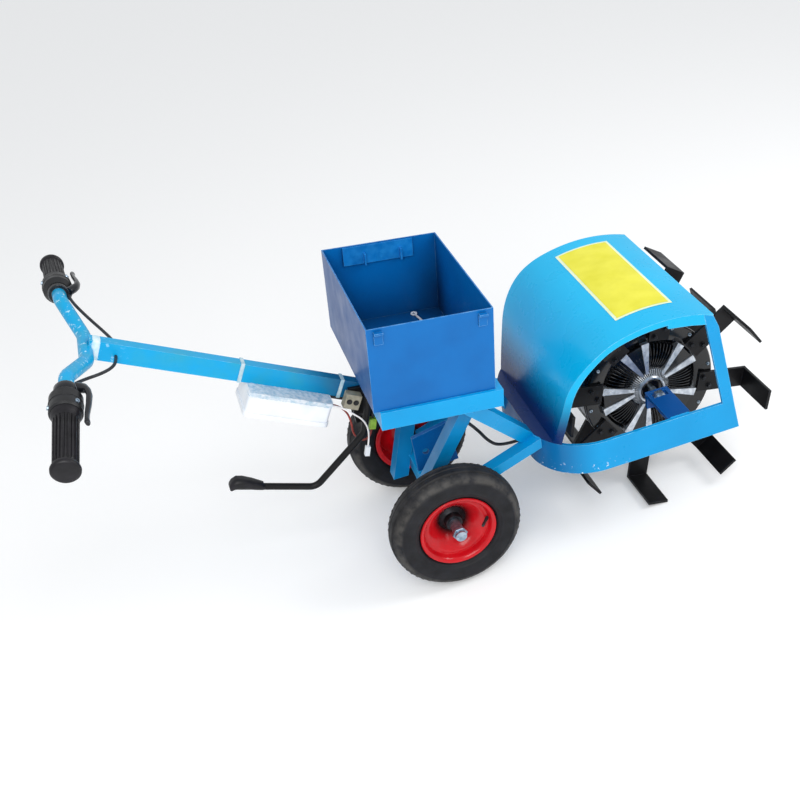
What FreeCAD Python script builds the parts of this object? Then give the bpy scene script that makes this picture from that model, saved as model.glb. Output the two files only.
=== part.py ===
import FreeCAD, Part
import math
import os
import Sketcher
from FreeCAD import Placement, Rotation, Vector

# Walk-behind weeder, millimetres. +X is forward (towards the rotor hood), +Y is the left side, +Z is up.
# The floor is z = 0 and the wheels and the rotor blades stand on it.

doc = FreeCAD.newDocument("walk_behind_weeder")

# ---------------------------------------------------------------- driving dimensions
SIZES = {
    # running gear
    "axle_station": -44.9,
    "tyre_radius": 119.5,
    "tyre_width": 62.0,
    "tyre_track": 155.0,
    "rim_radius": 66.0,
    "rim_width": 40.0,
    "rim_wall": 3.0,
    "hub_radius": 19.0,
    "hub_length": 62.0,
    "hub_offset": -5.0,
    "wheel_shaft_radius": 10.0,
    "wheel_shaft_half": 194.0,
    "running_gap": 0.05,
    "nut_flats": 30.0,
    "nut_height": 10.0,
    "beam_size": 40.0,
    "beam_half": 117.0,
    "beam_wall": 3.0,
    # battery box and its angle frame
    "box_centre_x": 8.0,
    "box_floor_z": 381.0,
    "box_pitch": 6.5,
    "box_length": 206.0,
    "box_width": 314.0,
    "box_height": 148.0,
    "box_wall": 2.0,
    "frame_rear": 93.0,
    "frame_front": 115.0,
    "frame_width": 326.0,
    "angle_leg": 32.0,
    "angle_wall": 4.0,
    # struts
    "leg_size": 29.0,
    "leg_wall": 2.0,
    "leg_foot_x": -46.8,
    "leg_foot_y": 56.0,
    "leg_foot_z": 105.0,
    "leg_head_x": 74.6,
    "leg_head_y": 157.1,
    "brace_width": 26.0,
    "brace_height": 20.0,
    "brace_y": 101.0,
    "brace_front_z": 197.0,
    "brace_rear_z": 142.0,
    "stay_size": 26.0,
    "stay_head_x": 72.0,
    "stay_head_y": 140.0,
    "stay_head_z": 335.0,
    "stay_foot_y": 76.0,
    "stay_foot_z": 195.0,
    "gusset_rear": 19.0,
    "gusset_front": 60.0,
    "gusset_head": 50.0,
    "gusset_rear_rise": 75.0,
    "gusset_front_rise": 88.0,
    "gusset_thick": 8.0,
    "gusset_bore_x": 2.0,
    "gusset_bore_rise": 40.0,
    "gusset_bore_radius": 6.1,
    # guard ring
    "ring_rear": 180.0,
    "ring_front": 550.0,
    "ring_half": 178.0,
    "ring_corner": 110.0,
    "ring_bottom": 148.0,
    "ring_height": 62.0,
    "ring_thick": 6.0,
    "post_width": 22.0,
    "post_lean": 0.18,
    # hood
    "hood_wall": 2.0,
    "weld_gap": 0.2,
    "hood_foot_x": 204.4,
    "hood_rear_angle": 76.0,
    "hood_rear_run": 94.6,
    "hood_rear_radius": 140.7,
    "hood_crown_angle": 16.0,
    "hood_crown_radius": 291.0,
    "hood_lip_angle": -19.0,
    "lip_depth": 9.0,
    "corner_run": 84.0,
    "corner_depth": 17.0,
    # rotor
    "rotor_x": 434.0,
    "rotor_z": 200.0,
    "shell_radius": 130.0,
    "shell_half": 50.0,
    "shell_rim": 16.0,
    "shell_dish": 14.0,
    "boss_radius": 34.0,
    "motor_shaft_radius": 7.5,
    "motor_shaft_half": 98.0,
    "motor_nut_flats": 24.0,
    "motor_nut_height": 9.0,
    "blade_count": 8.0,
    "blade_width": 40.0,
    "blade_thick": 5.0,
    "arm_thick": 6.0,
    "arm_inner": 100.0,
    "blade_flat": 199.9,
    "blade_end": 149.0,
    "near_phase": 101.25,
    "bracket_width": 44.0,
    "bracket_window": 30.0,
    "nut_room": 17.0,
    "bracket_thick": 8.0,
    "bracket_tab": 76.0,
    "bracket_drop": 22.0,
    # pole, in its own frame: x along the pole, front end at zero
    "pole_x": -60.0,
    "pole_z": 331.0,
    "pole_pitch": 28.5,
    "pole_length": 478.0,
    "pole_width": 20.0,
    "pole_height": 32.0,
    "pole_wall": 2.0,
    "cheek_thick": 6.0,
    "cheek_length": 56.0,
    "cheek_drop": 40.0,
    "cheek_ahead": 6.0,
    "hitch_radius": 6.1,
    "hitch_inset": 14.0,
    # handlebar
    "bar_radius": 11.0,
    "bar_wall": 1.8,
    "bar_bend": 45.0,
    "grip_length": 118.0,
    "grip_radius": 17.0,
    "grip_flange": 20.0,
    "grip_flange_thick": 6.0,
    "grip_cap": 3.0,
    "seat_gap": 0.3,
    "housing_length": 44.0,
    "housing_radius": 23.0,
    "perch_length": 16.0,
    "perch_radius": 17.0,
    "lever_reach": 32.0,
    "lever_length": 92.0,
    "lever_thick": 6.0,
    # controller case
    "case_front": 84.0,
    "case_length": 143.0,
    "case_width": 84.0,
    "case_height": 37.0,
    "case_wall": 3.0,
    "case_corner": 7.0,
    "lid_height": 8.0,
    "lid_rim": 2.0,
    "tie_width": 6.0,
    "tie_thick": 1.5,
    "tie_reach": 14.0,
    "connector_front": 36.0,
    "connector_length": 27.0,
    "connector_top": 2.0,
    "connector_height": 27.0,
    "connector_width": 16.8,
    "connector_seat": 0.2,
    "lever_cable_size": 5.0,
    "motor_cable_size": 6.0,
    "power_wire_size": 3.5,
    "signal_wire_size": 3.0,
    "box_lead_size": 4.0,
    "gland_radius": 8.0,
    "gland_length": 9.9,
    "wire_plug_size": 12.0,
    "wire_plug_length": 20.0,
    "lead_plug_size": 8.0,
    "lead_plug_length": 18.0,
    "terminal_radius": 6.0,
    "terminal_bore": 3.2,
    "terminal_thick": 2.0,
    # rear rest
    "rest_y": -40.0,
    "rest_radius": 6.0,
    "pad_length": 52.0,
    "pad_radius": 17.0,
    # box fittings
    "hook_width": 14.0,
    "hook_height": 22.0,
    "hook_thick": 3.0,
    "hook_inset": 18.5,
    "hook_drop": 5.0,
    "plate_inset": 36.0,
    "plate_length": 126.0,
    "plate_height": 33.0,
    "plate_drop": 2.0,
    "plate_thick": 3.0,
    "tab_depth": 9.0,
    "tab_height": 20.0,
    "tab_first": 36.0,
    "tab_second": 101.0,
}

sizes = doc.addObject("Spreadsheet::Sheet", "Sizes")
for row, (alias, number) in enumerate(SIZES.items(), start=1):
    sizes.set(f"A{row}", alias)
    sizes.set(f"B{row}", str(number))
    sizes.setAlias(f"B{row}", alias)
doc.recompute()


def size(name):
    """The number in the sheet under this alias."""
    return float(sizes.get(name))


def bind(target, prop, expression):
    """Ties a property to the sheet; an alias is written with '#' in front of it."""
    target.setExpression(prop, expression.replace("#", "Sizes."))


# ---------------------------------------------------------------- helpers for bodies and sketches
def new_body(label, several=False):
    body = doc.addObject("PartDesign::Body", label)
    body.Label = label
    body.AllowCompound = several
    return body


def plane_of(body, role):
    for feature in body.Origin.OriginFeatures:
        if feature.Role == role:
            return feature
    raise ValueError(role)


def new_sketch(body, role, name, offset=None):
    sketch = body.newObject("Sketcher::SketchObject", f"{body.Name}_{name}")
    sketch.AttachmentSupport = (plane_of(body, role), [""])
    sketch.MapMode = "FlatFace"
    if offset is not None:
        bind(sketch, "AttachmentOffset.Base.z", offset)
    return sketch


def bound_outline(sketch, points):
    """A closed outline of straight lines whose corners follow pairs of expressions."""
    corners = []
    for across, up in points:
        corners.append(Vector(number_of(across), number_of(up), 0))
    first = sketch.GeometryCount
    count = len(corners)
    for index in range(count):
        line = Part.LineSegment(corners[index], corners[(index + 1) % count])
        sketch.addGeometry(line, False)
    for index in range(count):
        following = first + (index + 1) % count
        sketch.addConstraint(Sketcher.Constraint("Coincident", first + index, 2, following, 1))
    for index, (across, up) in enumerate(points):
        bind_distance(sketch, "DistanceX", -2, first + index, corners[index].x, across)
        bind_distance(sketch, "DistanceY", -1, first + index, corners[index].y, up)


def bind_distance(sketch, kind, axis, geometry, value, expression):
    if abs(value) < 1e-9:
        sketch.addConstraint(Sketcher.Constraint("PointOnObject", geometry, 1, axis))
        return
    number = sketch.addConstraint(Sketcher.Constraint(kind, -1, 1, geometry, 1, value))
    bind(sketch, f"Constraints[{number}]", expression)


def number_of(expression):
    """The value of an expression made of sheet names, numbers and + - * /."""
    total = 0.0
    text = expression.replace("- ", "-").replace("+ ", "+")
    for term in text.split():
        sign = -1.0 if term.startswith("-") else 1.0
        product = sign
        for factor in term.lstrip("+-").split("*"):
            parts = factor.split("/")
            product *= size(parts[0][1:]) if parts[0].startswith("#") else float(parts[0])
            for divisor in parts[1:]:
                product /= size(divisor[1:]) if divisor.startswith("#") else float(divisor)
        total += product
    return total


def add_pad(body, sketch, length, symmetric=False, reverse=False):
    pad = body.newObject("PartDesign::Pad", f"{sketch.Name}_pad")
    pad.Profile = sketch
    bind(pad, "Length", length)
    pad.Midplane = symmetric
    pad.Reversed = reverse
    sketch.Visibility = False
    return pad


def add_pocket(body, sketch, length, symmetric=False, reverse=False):
    doc.recompute()
    before = body.Shape.Volume
    pocket = body.newObject("PartDesign::Pocket", f"{sketch.Name}_pocket")
    pocket.Profile = sketch
    bind(pocket, "Length", length)
    pocket.Midplane = symmetric
    pocket.Reversed = reverse
    sketch.Visibility = False
    doc.recompute()
    if body.Shape.Volume > before - 1.0:
        raise RuntimeError(f"{sketch.Name} cuts nothing")
    return pocket


def add_circle(sketch, radius, across="0", up="0"):
    """A circle whose radius and centre follow expressions."""
    centre = Vector(number_of(across), number_of(up), 0)
    index = sketch.addGeometry(Part.Circle(centre, Vector(0, 0, 1), number_of(radius)), False)
    number = sketch.addConstraint(Sketcher.Constraint("Radius", index, number_of(radius)))
    bind(sketch, f"Constraints[{number}]", radius)
    if centre.Length < 1e-9:
        sketch.addConstraint(Sketcher.Constraint("Coincident", index, 3, -1, 1))
        return
    for kind, value, expression in (("DistanceX", centre.x, across), ("DistanceY", centre.y, up)):
        number = sketch.addConstraint(Sketcher.Constraint(kind, -1, 1, index, 3, value))
        bind(sketch, f"Constraints[{number}]", expression)


def add_mirror(body, originals, role="XZ_Plane"):
    """The same features on the other side of one of the body's own planes."""
    twin = body.newObject("PartDesign::Mirrored", f"{body.Name}_mirror")
    twin.Originals = originals
    twin.MirrorPlane = (plane_of(body, role), [""])
    body.Tip = twin
    return twin


def add_fillet(body, base, direction, radius):
    """Rounds every straight edge of the base feature that runs along a direction."""
    doc.recompute()
    names = []
    for index, edge in enumerate(base.Shape.Edges, start=1):
        run = edge.Vertexes[-1].Point - edge.Vertexes[0].Point
        if run.Length > 1e-6 and abs(run.normalize().dot(direction)) > 0.999:
            names.append(f"Edge{index}")
    fillet = body.newObject("PartDesign::Fillet", f"{base.Name}_fillet")
    fillet.Base = (base, names)
    bind(fillet, "Radius", radius)
    return fillet


def add_turn(body, sketch):
    """A full turn of the sketch about the body's own Z axis drawn as the sketch's vertical axis."""
    turn = body.newObject("PartDesign::Revolution", f"{sketch.Name}_turn")
    turn.Profile = sketch
    turn.ReferenceAxis = (sketch, ["V_Axis"])
    turn.Angle = 360.0
    sketch.Visibility = False
    return turn


def feature(label, shape, placement=None):
    item = doc.addObject("Part::Feature", label)
    item.Label = label
    item.Shape = shape
    if placement is not None:
        item.Placement = placement
    return item


def rectangle(half_length, half_width):
    return [
        (f"-{half_length}", f"-{half_width}"),
        (half_length, f"-{half_width}"),
        (half_length, half_width),
        (f"-{half_length}", half_width),
    ]


def mirrored(shape):
    """The same piece on the other side of the machine."""
    return shape.mirror(Vector(0, 0, 0), Vector(0, 1, 0))


AXIS_X = Vector(1, 0, 0)
AXIS_Y = Vector(0, 1, 0)
AXIS_Z = Vector(0, 0, 1)
STATION = size("axle_station")
TO_LEFT = Rotation(Vector(1, 0, 0), -90)
TO_RIGHT = Rotation(Vector(1, 0, 0), 90)
BOX_FRAME = Placement(
    Vector(STATION + size("box_centre_x"), 0, size("box_floor_z")),
    Rotation(Vector(0, 1, 0), size("box_pitch")),
)
POLE_FRAME = Placement(
    Vector(STATION + size("pole_x"), 0, size("pole_z")),
    Rotation(Vector(0, 1, 0), size("pole_pitch")),
)


# ---------------------------------------------------------------- battery box and angle frame
def battery_box():
    body = new_body("battery_box")
    outer = new_sketch(body, "XY_Plane", "outer")
    bound_outline(outer, rectangle("#box_length/2", "#box_width/2"))
    add_pad(body, outer, "#box_height")
    inner = new_sketch(body, "XY_Plane", "inner", "#box_wall")
    half_length = ("#box_length/2 - #box_wall", "-#box_length/2 + #box_wall")
    half_width = ("#box_width/2 - #box_wall", "-#box_width/2 + #box_wall")
    bound_outline(inner, [
        (half_length[1], half_width[1]),
        (half_length[0], half_width[1]),
        (half_length[0], half_width[0]),
        (half_length[1], half_width[0]),
    ])
    add_pocket(body, inner, "#box_height", reverse=True)
    body.Placement = BOX_FRAME
    return body


def box_frame():
    """Angle iron round the bottom of the box: a flange that carries it and a leg that hangs down."""
    body = new_body("box_frame")
    outline = [
        ("-#frame_rear", "-#frame_width/2"),
        ("#frame_front", "-#frame_width/2"),
        ("#frame_front", "#frame_width/2"),
        ("-#frame_rear", "#frame_width/2"),
    ]
    outer = new_sketch(body, "XY_Plane", "outer")
    bound_outline(outer, outline)
    add_pad(body, outer, "#angle_leg", reverse=True)
    inner = new_sketch(body, "XY_Plane", "leg", "-#angle_wall")
    bound_outline(inner, inset(outline, "#angle_wall"))
    add_pocket(body, inner, "#angle_leg")
    window = new_sketch(body, "XY_Plane", "window")
    bound_outline(window, inset(outline, "#angle_leg"))
    add_pocket(body, window, "#angle_leg")
    body.Placement = BOX_FRAME
    return body


def inset(outline, step):
    """A rectangle given by its lower left, lower right, upper right and upper left corners, drawn in."""
    signs = [("+ ", "+ "), ("- ", "+ "), ("- ", "- "), ("+ ", "- ")]
    smaller = []
    for (across, up), (sign_x, sign_y) in zip(outline, signs):
        smaller.append((f"{across} {sign_x}{step}", f"{up} {sign_y}{step}"))
    return smaller


def box_hooks():
    """Two catch hooks under the rim of each long wall, bent from strip."""
    body = new_body("box_hooks", several=True)
    top = "#box_height - #hook_drop"
    profile = [
        ("-#box_width/2 - #hook_thick", f"{top} - #hook_height"),
        ("-#box_width/2", f"{top} - #hook_height"),
        ("-#box_width/2", top),
        ("-#box_width/2 - 3*#hook_thick", top),
        ("-#box_width/2 - 3*#hook_thick", f"{top} - #hook_thick"),
        ("-#box_width/2 - #hook_thick", f"{top} - #hook_thick"),
    ]
    pads = []
    for name, station in (("rear", "-#box_length/2 + #hook_inset"), ("front", "#box_length/2 - #hook_inset")):
        sketch = new_sketch(body, "YZ_Plane", name, station)
        bound_outline(sketch, profile)
        pads.append(add_pad(body, sketch, "#hook_width", symmetric=True))
    add_mirror(body, pads)
    body.Placement = BOX_FRAME
    return body


def hinge_plate():
    """Plate with two upright tabs welded inside the left wall, just under the rim."""
    body = new_body("hinge_plate")
    inner_wall = "-#box_width/2 + #box_wall"
    start = "-#box_length/2 + #plate_inset"
    low = "#box_height - #plate_drop - #plate_height"
    plate = new_sketch(body, "XZ_Plane", "plate", inner_wall)
    bound_outline(plate, [
        (start, low),
        (f"{start} + #plate_length", low),
        (f"{start} + #plate_length", "#box_height - #plate_drop"),
        (start, "#box_height - #plate_drop"),
    ])
    add_pad(body, plate, "#plate_thick")
    for name, station in (("first_tab", "#tab_first"), ("second_tab", "#tab_second")):
        tab = new_sketch(body, "XZ_Plane", name, inner_wall)
        bound_outline(tab, [
            (f"{start} + {station}", low),
            (f"{start} + {station} + #plate_thick", low),
            (f"{start} + {station} + #plate_thick", f"{low} + #tab_height"),
            (f"{start} + {station}", f"{low} + #tab_height"),
        ])
        add_pad(body, tab, "#plate_thick + #tab_depth")
    body.Placement = BOX_FRAME
    return body


# ---------------------------------------------------------------- axle, struts and guard ring
def axle_beam():
    body = new_body("axle_beam")
    outer = new_sketch(body, "XZ_Plane", "outer")
    bound_outline(outer, rectangle("#beam_size/2", "#beam_size/2"))
    add_pad(body, outer, "2*#beam_half", symmetric=True)
    inner = new_sketch(body, "XZ_Plane", "inner")
    bound_outline(inner, inset(rectangle("#beam_size/2", "#beam_size/2"), "#beam_wall"))
    add_pocket(body, inner, "2*#beam_half - 4*#beam_wall", symmetric=True)
    bore = new_sketch(body, "XZ_Plane", "bore")
    add_circle(bore, "#wheel_shaft_radius + #running_gap")
    add_pocket(body, bore, "4*#beam_half", symmetric=True)
    body.Placement = Placement(Vector(STATION, 0, size("tyre_radius")), Rotation())
    return body


def wheel_shaft():
    shaft = doc.addObject("Part::Cylinder", "wheel_shaft")
    bind(shaft, "Radius", "#wheel_shaft_radius")
    bind(shaft, "Height", "2*#wheel_shaft_half")
    shaft.Placement = Placement(
        Vector(STATION, -size("wheel_shaft_half"), size("tyre_radius")), TO_LEFT
    )
    return shaft


def nut_pair(label, flats, height, bore, centre, start):
    """Two hexagon nuts on one shaft, whose inner faces stand this far from the middle."""
    nuts = []
    for side, turn in (("left", TO_LEFT), ("right", TO_RIGHT)):
        blank = doc.addObject("Part::Prism", f"{label}_{side}_blank")
        blank.Polygon = 6
        bind(blank, "Circumradius", f"{flats}/sqrt(3)")
        bind(blank, "Height", height)
        hole = doc.addObject("Part::Cylinder", f"{label}_{side}_hole")
        bind(hole, "Radius", f"{bore} + #running_gap")
        bind(hole, "Height", height)
        drilled = doc.addObject("Part::Cut", f"{label}_{side}")
        drilled.Base = blank
        drilled.Tool = hole
        offset = start if side == "left" else -start
        drilled.Placement = Placement(centre + Vector(0, offset, 0), turn)
        nuts.append(drilled)
    pair = doc.addObject("Part::Compound", label)
    pair.Label = label
    pair.Links = nuts
    return pair


def wheel_nuts():
    start = size("tyre_track") + size("hub_offset") + size("hub_length") / 2 + 0.5
    centre = Vector(STATION, 0, size("tyre_radius"))
    return nut_pair("wheel_nuts", "#nut_flats", "#nut_height", "#wheel_shaft_radius", centre, start)


def prism(centre, half_u, half_v, axis_u, axis_v, run):
    """A four-sided prism: a rectangle about centre, drawn out along run."""
    corners = []
    for sign_u, sign_v in ((-1, -1), (1, -1), (1, 1), (-1, 1), (-1, -1)):
        corners.append(centre + axis_u * (sign_u * half_u) + axis_v * (sign_v * half_v))
    return Part.Face(Part.makePolygon(corners)).extrude(run)


def box_tube(centre, half_u, half_v, axis_u, axis_v, run, wall):
    outer = prism(centre, half_u, half_v, axis_u, axis_v, run)
    inner = prism(centre, half_u - wall, half_v - wall, axis_u, axis_v, run)
    return outer.cut(inner)


def largest(shape):
    return max(shape.Solids, key=lambda solid: solid.Volume)


def above_frame(depth, behind=1000.0):
    """Everything above a plane this far below the box floor, from a distance behind its centre."""
    block = Part.makeBox(2000, 2000, 1000)
    block.Placement = BOX_FRAME.multiply(Placement(Vector(-behind, -1000, -depth), Rotation()))
    return block


def ring_outline(grow=0.0, beyond=0.0):
    """Plan of the guard ring's outer face: a U with round rear corners, open to the front."""
    rear = STATION + size("ring_rear") - grow
    front = STATION + size("ring_front") + beyond
    half = size("ring_half") + grow
    corner = size("ring_corner") + grow
    middle = corner * (1 - math.sqrt(0.5))
    edges = [
        Part.makeLine(Vector(front, -half, 0), Vector(rear + corner, -half, 0)),
        Part.Arc(Vector(rear + corner, -half, 0), Vector(rear + middle, middle - half, 0),
                 Vector(rear, corner - half, 0)).toShape(),
        Part.makeLine(Vector(rear, corner - half, 0), Vector(rear, half - corner, 0)),
        Part.Arc(Vector(rear, half - corner, 0), Vector(rear + middle, half - middle, 0),
                 Vector(rear + corner, half, 0)).toShape(),
        Part.makeLine(Vector(rear + corner, half, 0), Vector(front, half, 0)),
        Part.makeLine(Vector(front, half, 0), Vector(front, -half, 0)),
    ]
    return Part.Face(Part.Wire(edges))


def ring_envelope(bottom, height, grow=0.0):
    solid = ring_outline(grow).extrude(Vector(0, 0, height))
    solid.translate(Vector(0, 0, bottom))
    return solid


def hood_edges(inward):
    """Side profile of the hood: a leaning rear panel, a rear bend and a shallow crown."""
    start = Vector(STATION + size("hood_foot_x"), 0, size("ring_bottom") + size("ring_height"))
    rear = math.radians(size("hood_rear_angle"))
    crown = math.radians(size("hood_crown_angle"))
    lip = math.radians(size("hood_lip_angle"))
    along = Vector(math.cos(rear), 0, math.sin(rear))
    inside = Vector(math.sin(rear), 0, -math.cos(rear))
    foot = start + inside * inward
    bend_start = foot + along * size("hood_rear_run")
    bend_radius = size("hood_rear_radius") - inward
    bend_centre = bend_start + inside * bend_radius
    bend_end = on_circle(bend_centre, bend_radius, crown)
    crown_radius = size("hood_crown_radius") - inward
    crown_centre = bend_end - on_circle(Vector(0, 0, 0), crown_radius, crown)
    crown_end = on_circle(crown_centre, crown_radius, lip)
    bend_middle = on_circle(bend_centre, bend_radius, (rear + crown) / 2)
    crown_middle = on_circle(crown_centre, crown_radius, (crown + lip) / 2)
    return foot, bend_start, bend_middle, bend_end, crown_middle, crown_end


def on_circle(centre, radius, heading):
    """Point of a clockwise circle where the path has this heading above the horizontal."""
    return centre + Vector(-math.sin(heading), 0, math.cos(heading)) * radius


def hood_curve(points):
    foot, bend_start, bend_middle, bend_end, crown_middle, crown_end = points
    return [
        Part.makeLine(foot, bend_start),
        Part.Arc(bend_start, bend_middle, bend_end).toShape(),
        Part.Arc(bend_end, crown_middle, crown_end).toShape(),
    ]


def under_hood(gap):
    """The room under the hood, this far below its inner face."""
    points = hood_edges(size("hood_wall") + gap)
    foot, end = points[0], points[-1]
    low = size("ring_bottom") - 10.0
    edges = hood_curve(points)
    edges.append(Part.makeLine(end, Vector(STATION + size("ring_front") + 60, 0, low)))
    edges.append(Part.makeLine(Vector(STATION + size("ring_front") + 60, 0, low), Vector(foot.x, 0, low)))
    edges.append(Part.makeLine(Vector(foot.x, 0, low), foot))
    room = Part.Face(Part.Wire(edges)).extrude(Vector(0, 4 * size("ring_half"), 0))
    room.translate(Vector(0, -2 * size("ring_half"), 0))
    return room


def post_run(rise):
    """Way along a front post that climbs this far."""
    return Vector(-size("post_lean") * rise, 0, rise)


def guard_ring():
    """Flat bar bent to a U on edge, with a leaning post welded on each front end."""
    bottom = size("ring_bottom")
    front = STATION + size("ring_front")
    clear_front = 2.0 * size("ring_thick")
    ring = ring_envelope(bottom, size("ring_height"))
    room = ring_outline(-size("ring_thick"), clear_front).extrude(Vector(0, 0, size("ring_height")))
    room.translate(Vector(0, 0, bottom))
    ring = ring.cut(room)
    lean = prism(Vector(front + 500.0, 0, bottom), 500.0, 1000.0, AXIS_X, AXIS_Y, post_run(500.0))
    ring = ring.cut(lean)
    middle = Vector(front - size("post_width") / 2, size("ring_thick") / 2 - size("ring_half"), bottom)
    post = prism(middle, size("post_width") / 2, size("ring_thick") / 2, AXIS_X, AXIS_Y, post_run(300.0))
    post = post.common(under_hood(size("weld_gap")))
    whole = ring.fuse([post, mirrored(post)]).removeSplitter()
    return feature("guard_ring", whole)


def side_lips():
    """Strips in the plane of the ring's bar that stiffen the hood's side edges, and two corner plates."""
    head = size("ring_bottom") + size("ring_height")
    inside = under_hood(0.0)
    strip = inside.cut(under_hood(size("lip_depth")))
    end = hood_edges(size("hood_wall"))[-1]
    corner = Part.makePolygon([
        end + Vector(-size("corner_run"), 0, 0),
        end + Vector(-size("corner_run") / 2, 0, -size("corner_depth") * 0.4),
        end + Vector(0, 0, -size("corner_depth")),
        end + Vector(0, 0, size("corner_depth") * 2),
        end + Vector(-size("corner_run"), 0, size("corner_depth") * 2),
        end + Vector(-size("corner_run"), 0, 0),
    ])
    plate = Part.Face(corner).extrude(Vector(0, 4 * size("ring_half"), 0))
    plate.translate(Vector(0, -2 * size("ring_half"), 0))
    strip = strip.fuse(plate.common(inside))
    wall = ring_envelope(head, 400.0)
    room = ring_outline(-size("ring_thick"), 100.0).extrude(Vector(0, 0, 400.0))
    room.translate(Vector(0, 0, head))
    wall = wall.cut(room)
    front = Vector(STATION + size("ring_front") - size("post_width"), 0, size("ring_bottom"))
    reach = 500.0
    middle = front + Vector(reach, 0, 0)
    ahead = prism(middle, reach + size("weld_gap"), 1000.0, AXIS_X, AXIS_Y, post_run(500.0))
    return strip.common(wall).cut(ahead)


def hood():
    """Rolled sheet over the rotor, trimmed to the ring's plan, with a foot flange on the ring."""
    outer = hood_edges(0.0)
    inner = hood_edges(size("hood_wall"))
    edges = hood_curve(outer)
    edges.append(Part.makeLine(outer[-1], inner[-1]))
    edges += hood_curve(inner)
    edges.append(Part.makeLine(inner[0], outer[0]))
    width = 2 * size("ring_half") + 4.0
    sheet = Part.Face(Part.Wire(Part.__sortEdges__(edges))).extrude(Vector(0, width, 0))
    sheet.translate(Vector(0, -width / 2, 0))
    head = size("ring_bottom") + size("ring_height")
    flange = Part.makeBox(size("hood_foot_x") - size("ring_rear") + 12.0, width, size("hood_wall"))
    flange.translate(Vector(STATION + size("ring_rear") - 10.0, -width / 2, head))
    above = Part.makeBox(1000, 1000, 1000, Vector(-500, -500, head))
    whole = sheet.common(above).fuse(flange)
    whole = whole.common(ring_envelope(head, 400.0)).fuse(side_lips()).removeSplitter()
    return feature("hood", whole)


def leg_line():
    foot = Vector(STATION + size("leg_foot_x"), -size("leg_foot_y"), size("leg_foot_z"))
    head = Vector(STATION + size("leg_head_x"), -size("leg_head_y"), size("box_floor_z"))
    return foot, head


def beam_prism():
    """The axle beam's outer form, as a cutter for what is welded round its edges."""
    side = size("beam_size")
    length = 2 * size("beam_half")
    corner = Vector(STATION - side / 2, -length / 2, size("tyre_radius") - side / 2)
    return Part.makeBox(side, length, side, corner)


def inside_frame():
    """The room between the upright legs of the angle frame, drawn down past the struts."""
    half = size("frame_width") / 2 - size("angle_wall")
    return Part.makeBox(1000, 2 * half, 1000, Vector(-500, -half, 0))


def rear_legs():
    """Splayed square tubes from the angle frame down behind the axle beam, notched round its edge."""
    foot, head = leg_line()
    half = size("leg_size") / 2
    tube = box_tube(foot, half, half, AXIS_X, AXIS_Y, head - foot, size("leg_wall"))
    tube = tube.cut(above_frame(size("angle_wall"))).common(inside_frame())
    tube = largest(tube.cut(beam_prism()))
    return feature("rear_legs", Part.makeCompound([tube, mirrored(tube)]))


def side_braces():
    """Flat box tubes from the front edge of the axle beam to the rear of the guard ring."""
    front = size("beam_size") / 2
    slope = (size("brace_front_z") - size("brace_rear_z")) / (size("ring_rear") - front)
    seat = size("brace_height") / 2
    start = Vector(STATION + front - seat, -size("brace_y"), size("brace_rear_z") - slope * seat)
    reach = size("ring_rear") + 40.0 - front
    run = Vector(reach, 0, slope * reach)
    tube = box_tube(start, size("brace_width") / 2, size("brace_height") / 2, AXIS_Y, AXIS_Z, run,
                    size("leg_wall"))
    tube = tube.cut(ring_envelope(0.0, 400.0)).cut(beam_prism()).cut(stay_line())
    return feature("side_braces", Part.makeCompound([largest(tube), mirrored(largest(tube))]))


def stay_line(wall=0.0):
    """The run of one front stay, as a solid bar or, given a wall, as a tube."""
    half = size("stay_size") / 2
    head = Vector(STATION + size("stay_head_x"), -size("stay_head_y"), size("stay_head_z"))
    foot = Vector(STATION + size("ring_rear"), -size("stay_foot_y"), size("stay_foot_z"))
    run = (foot - head) * 1.6
    back = head - (foot - head) * 0.3
    across = AXIS_Y.cross(run).cross(run).normalize()
    upright = run.cross(across).normalize()
    if wall:
        return box_tube(back, half, half, across, upright, run, wall)
    return prism(back, half, half, across, upright, run)


def front_stays():
    """Square tubes from the heads of the rear legs down, forward and inward to the guard ring."""
    leg_foot, leg_head = leg_line()
    leg_half = size("leg_size") / 2
    tube = stay_line(size("leg_wall")).cut(above_frame(size("angle_wall"))).common(inside_frame())
    tube = tube.cut(prism(leg_foot, leg_half, leg_half, AXIS_X, AXIS_Y, leg_head - leg_foot))
    tube = largest(tube.cut(ring_envelope(0.0, 400.0)))
    return feature("front_stays", Part.makeCompound([tube, mirrored(tube)]))


def centre_gusset():
    """Upright plate on the middle of the axle beam, with a bore for a bolt."""
    body = new_body("centre_gusset")
    outline = new_sketch(body, "XZ_Plane", "outline")
    bound_outline(outline, [
        ("-#gusset_rear", "#beam_size/2"),
        ("#beam_size/2", "#beam_size/2"),
        ("#gusset_front", "#beam_size/2 + 2"),
        ("#gusset_head", "#beam_size/2 + #gusset_front_rise"),
        ("-#gusset_rear", "#beam_size/2 + #gusset_rear_rise"),
    ])
    add_pad(body, outline, "#gusset_thick", symmetric=True)
    bore = new_sketch(body, "XZ_Plane", "bore")
    add_circle(bore, "#gusset_bore_radius", "#gusset_bore_x", "#beam_size/2 + #gusset_bore_rise")
    add_pocket(body, bore, "4*#gusset_thick", symmetric=True)
    body.Placement = Placement(Vector(STATION, 0, size("tyre_radius")), Rotation())
    return body


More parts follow.
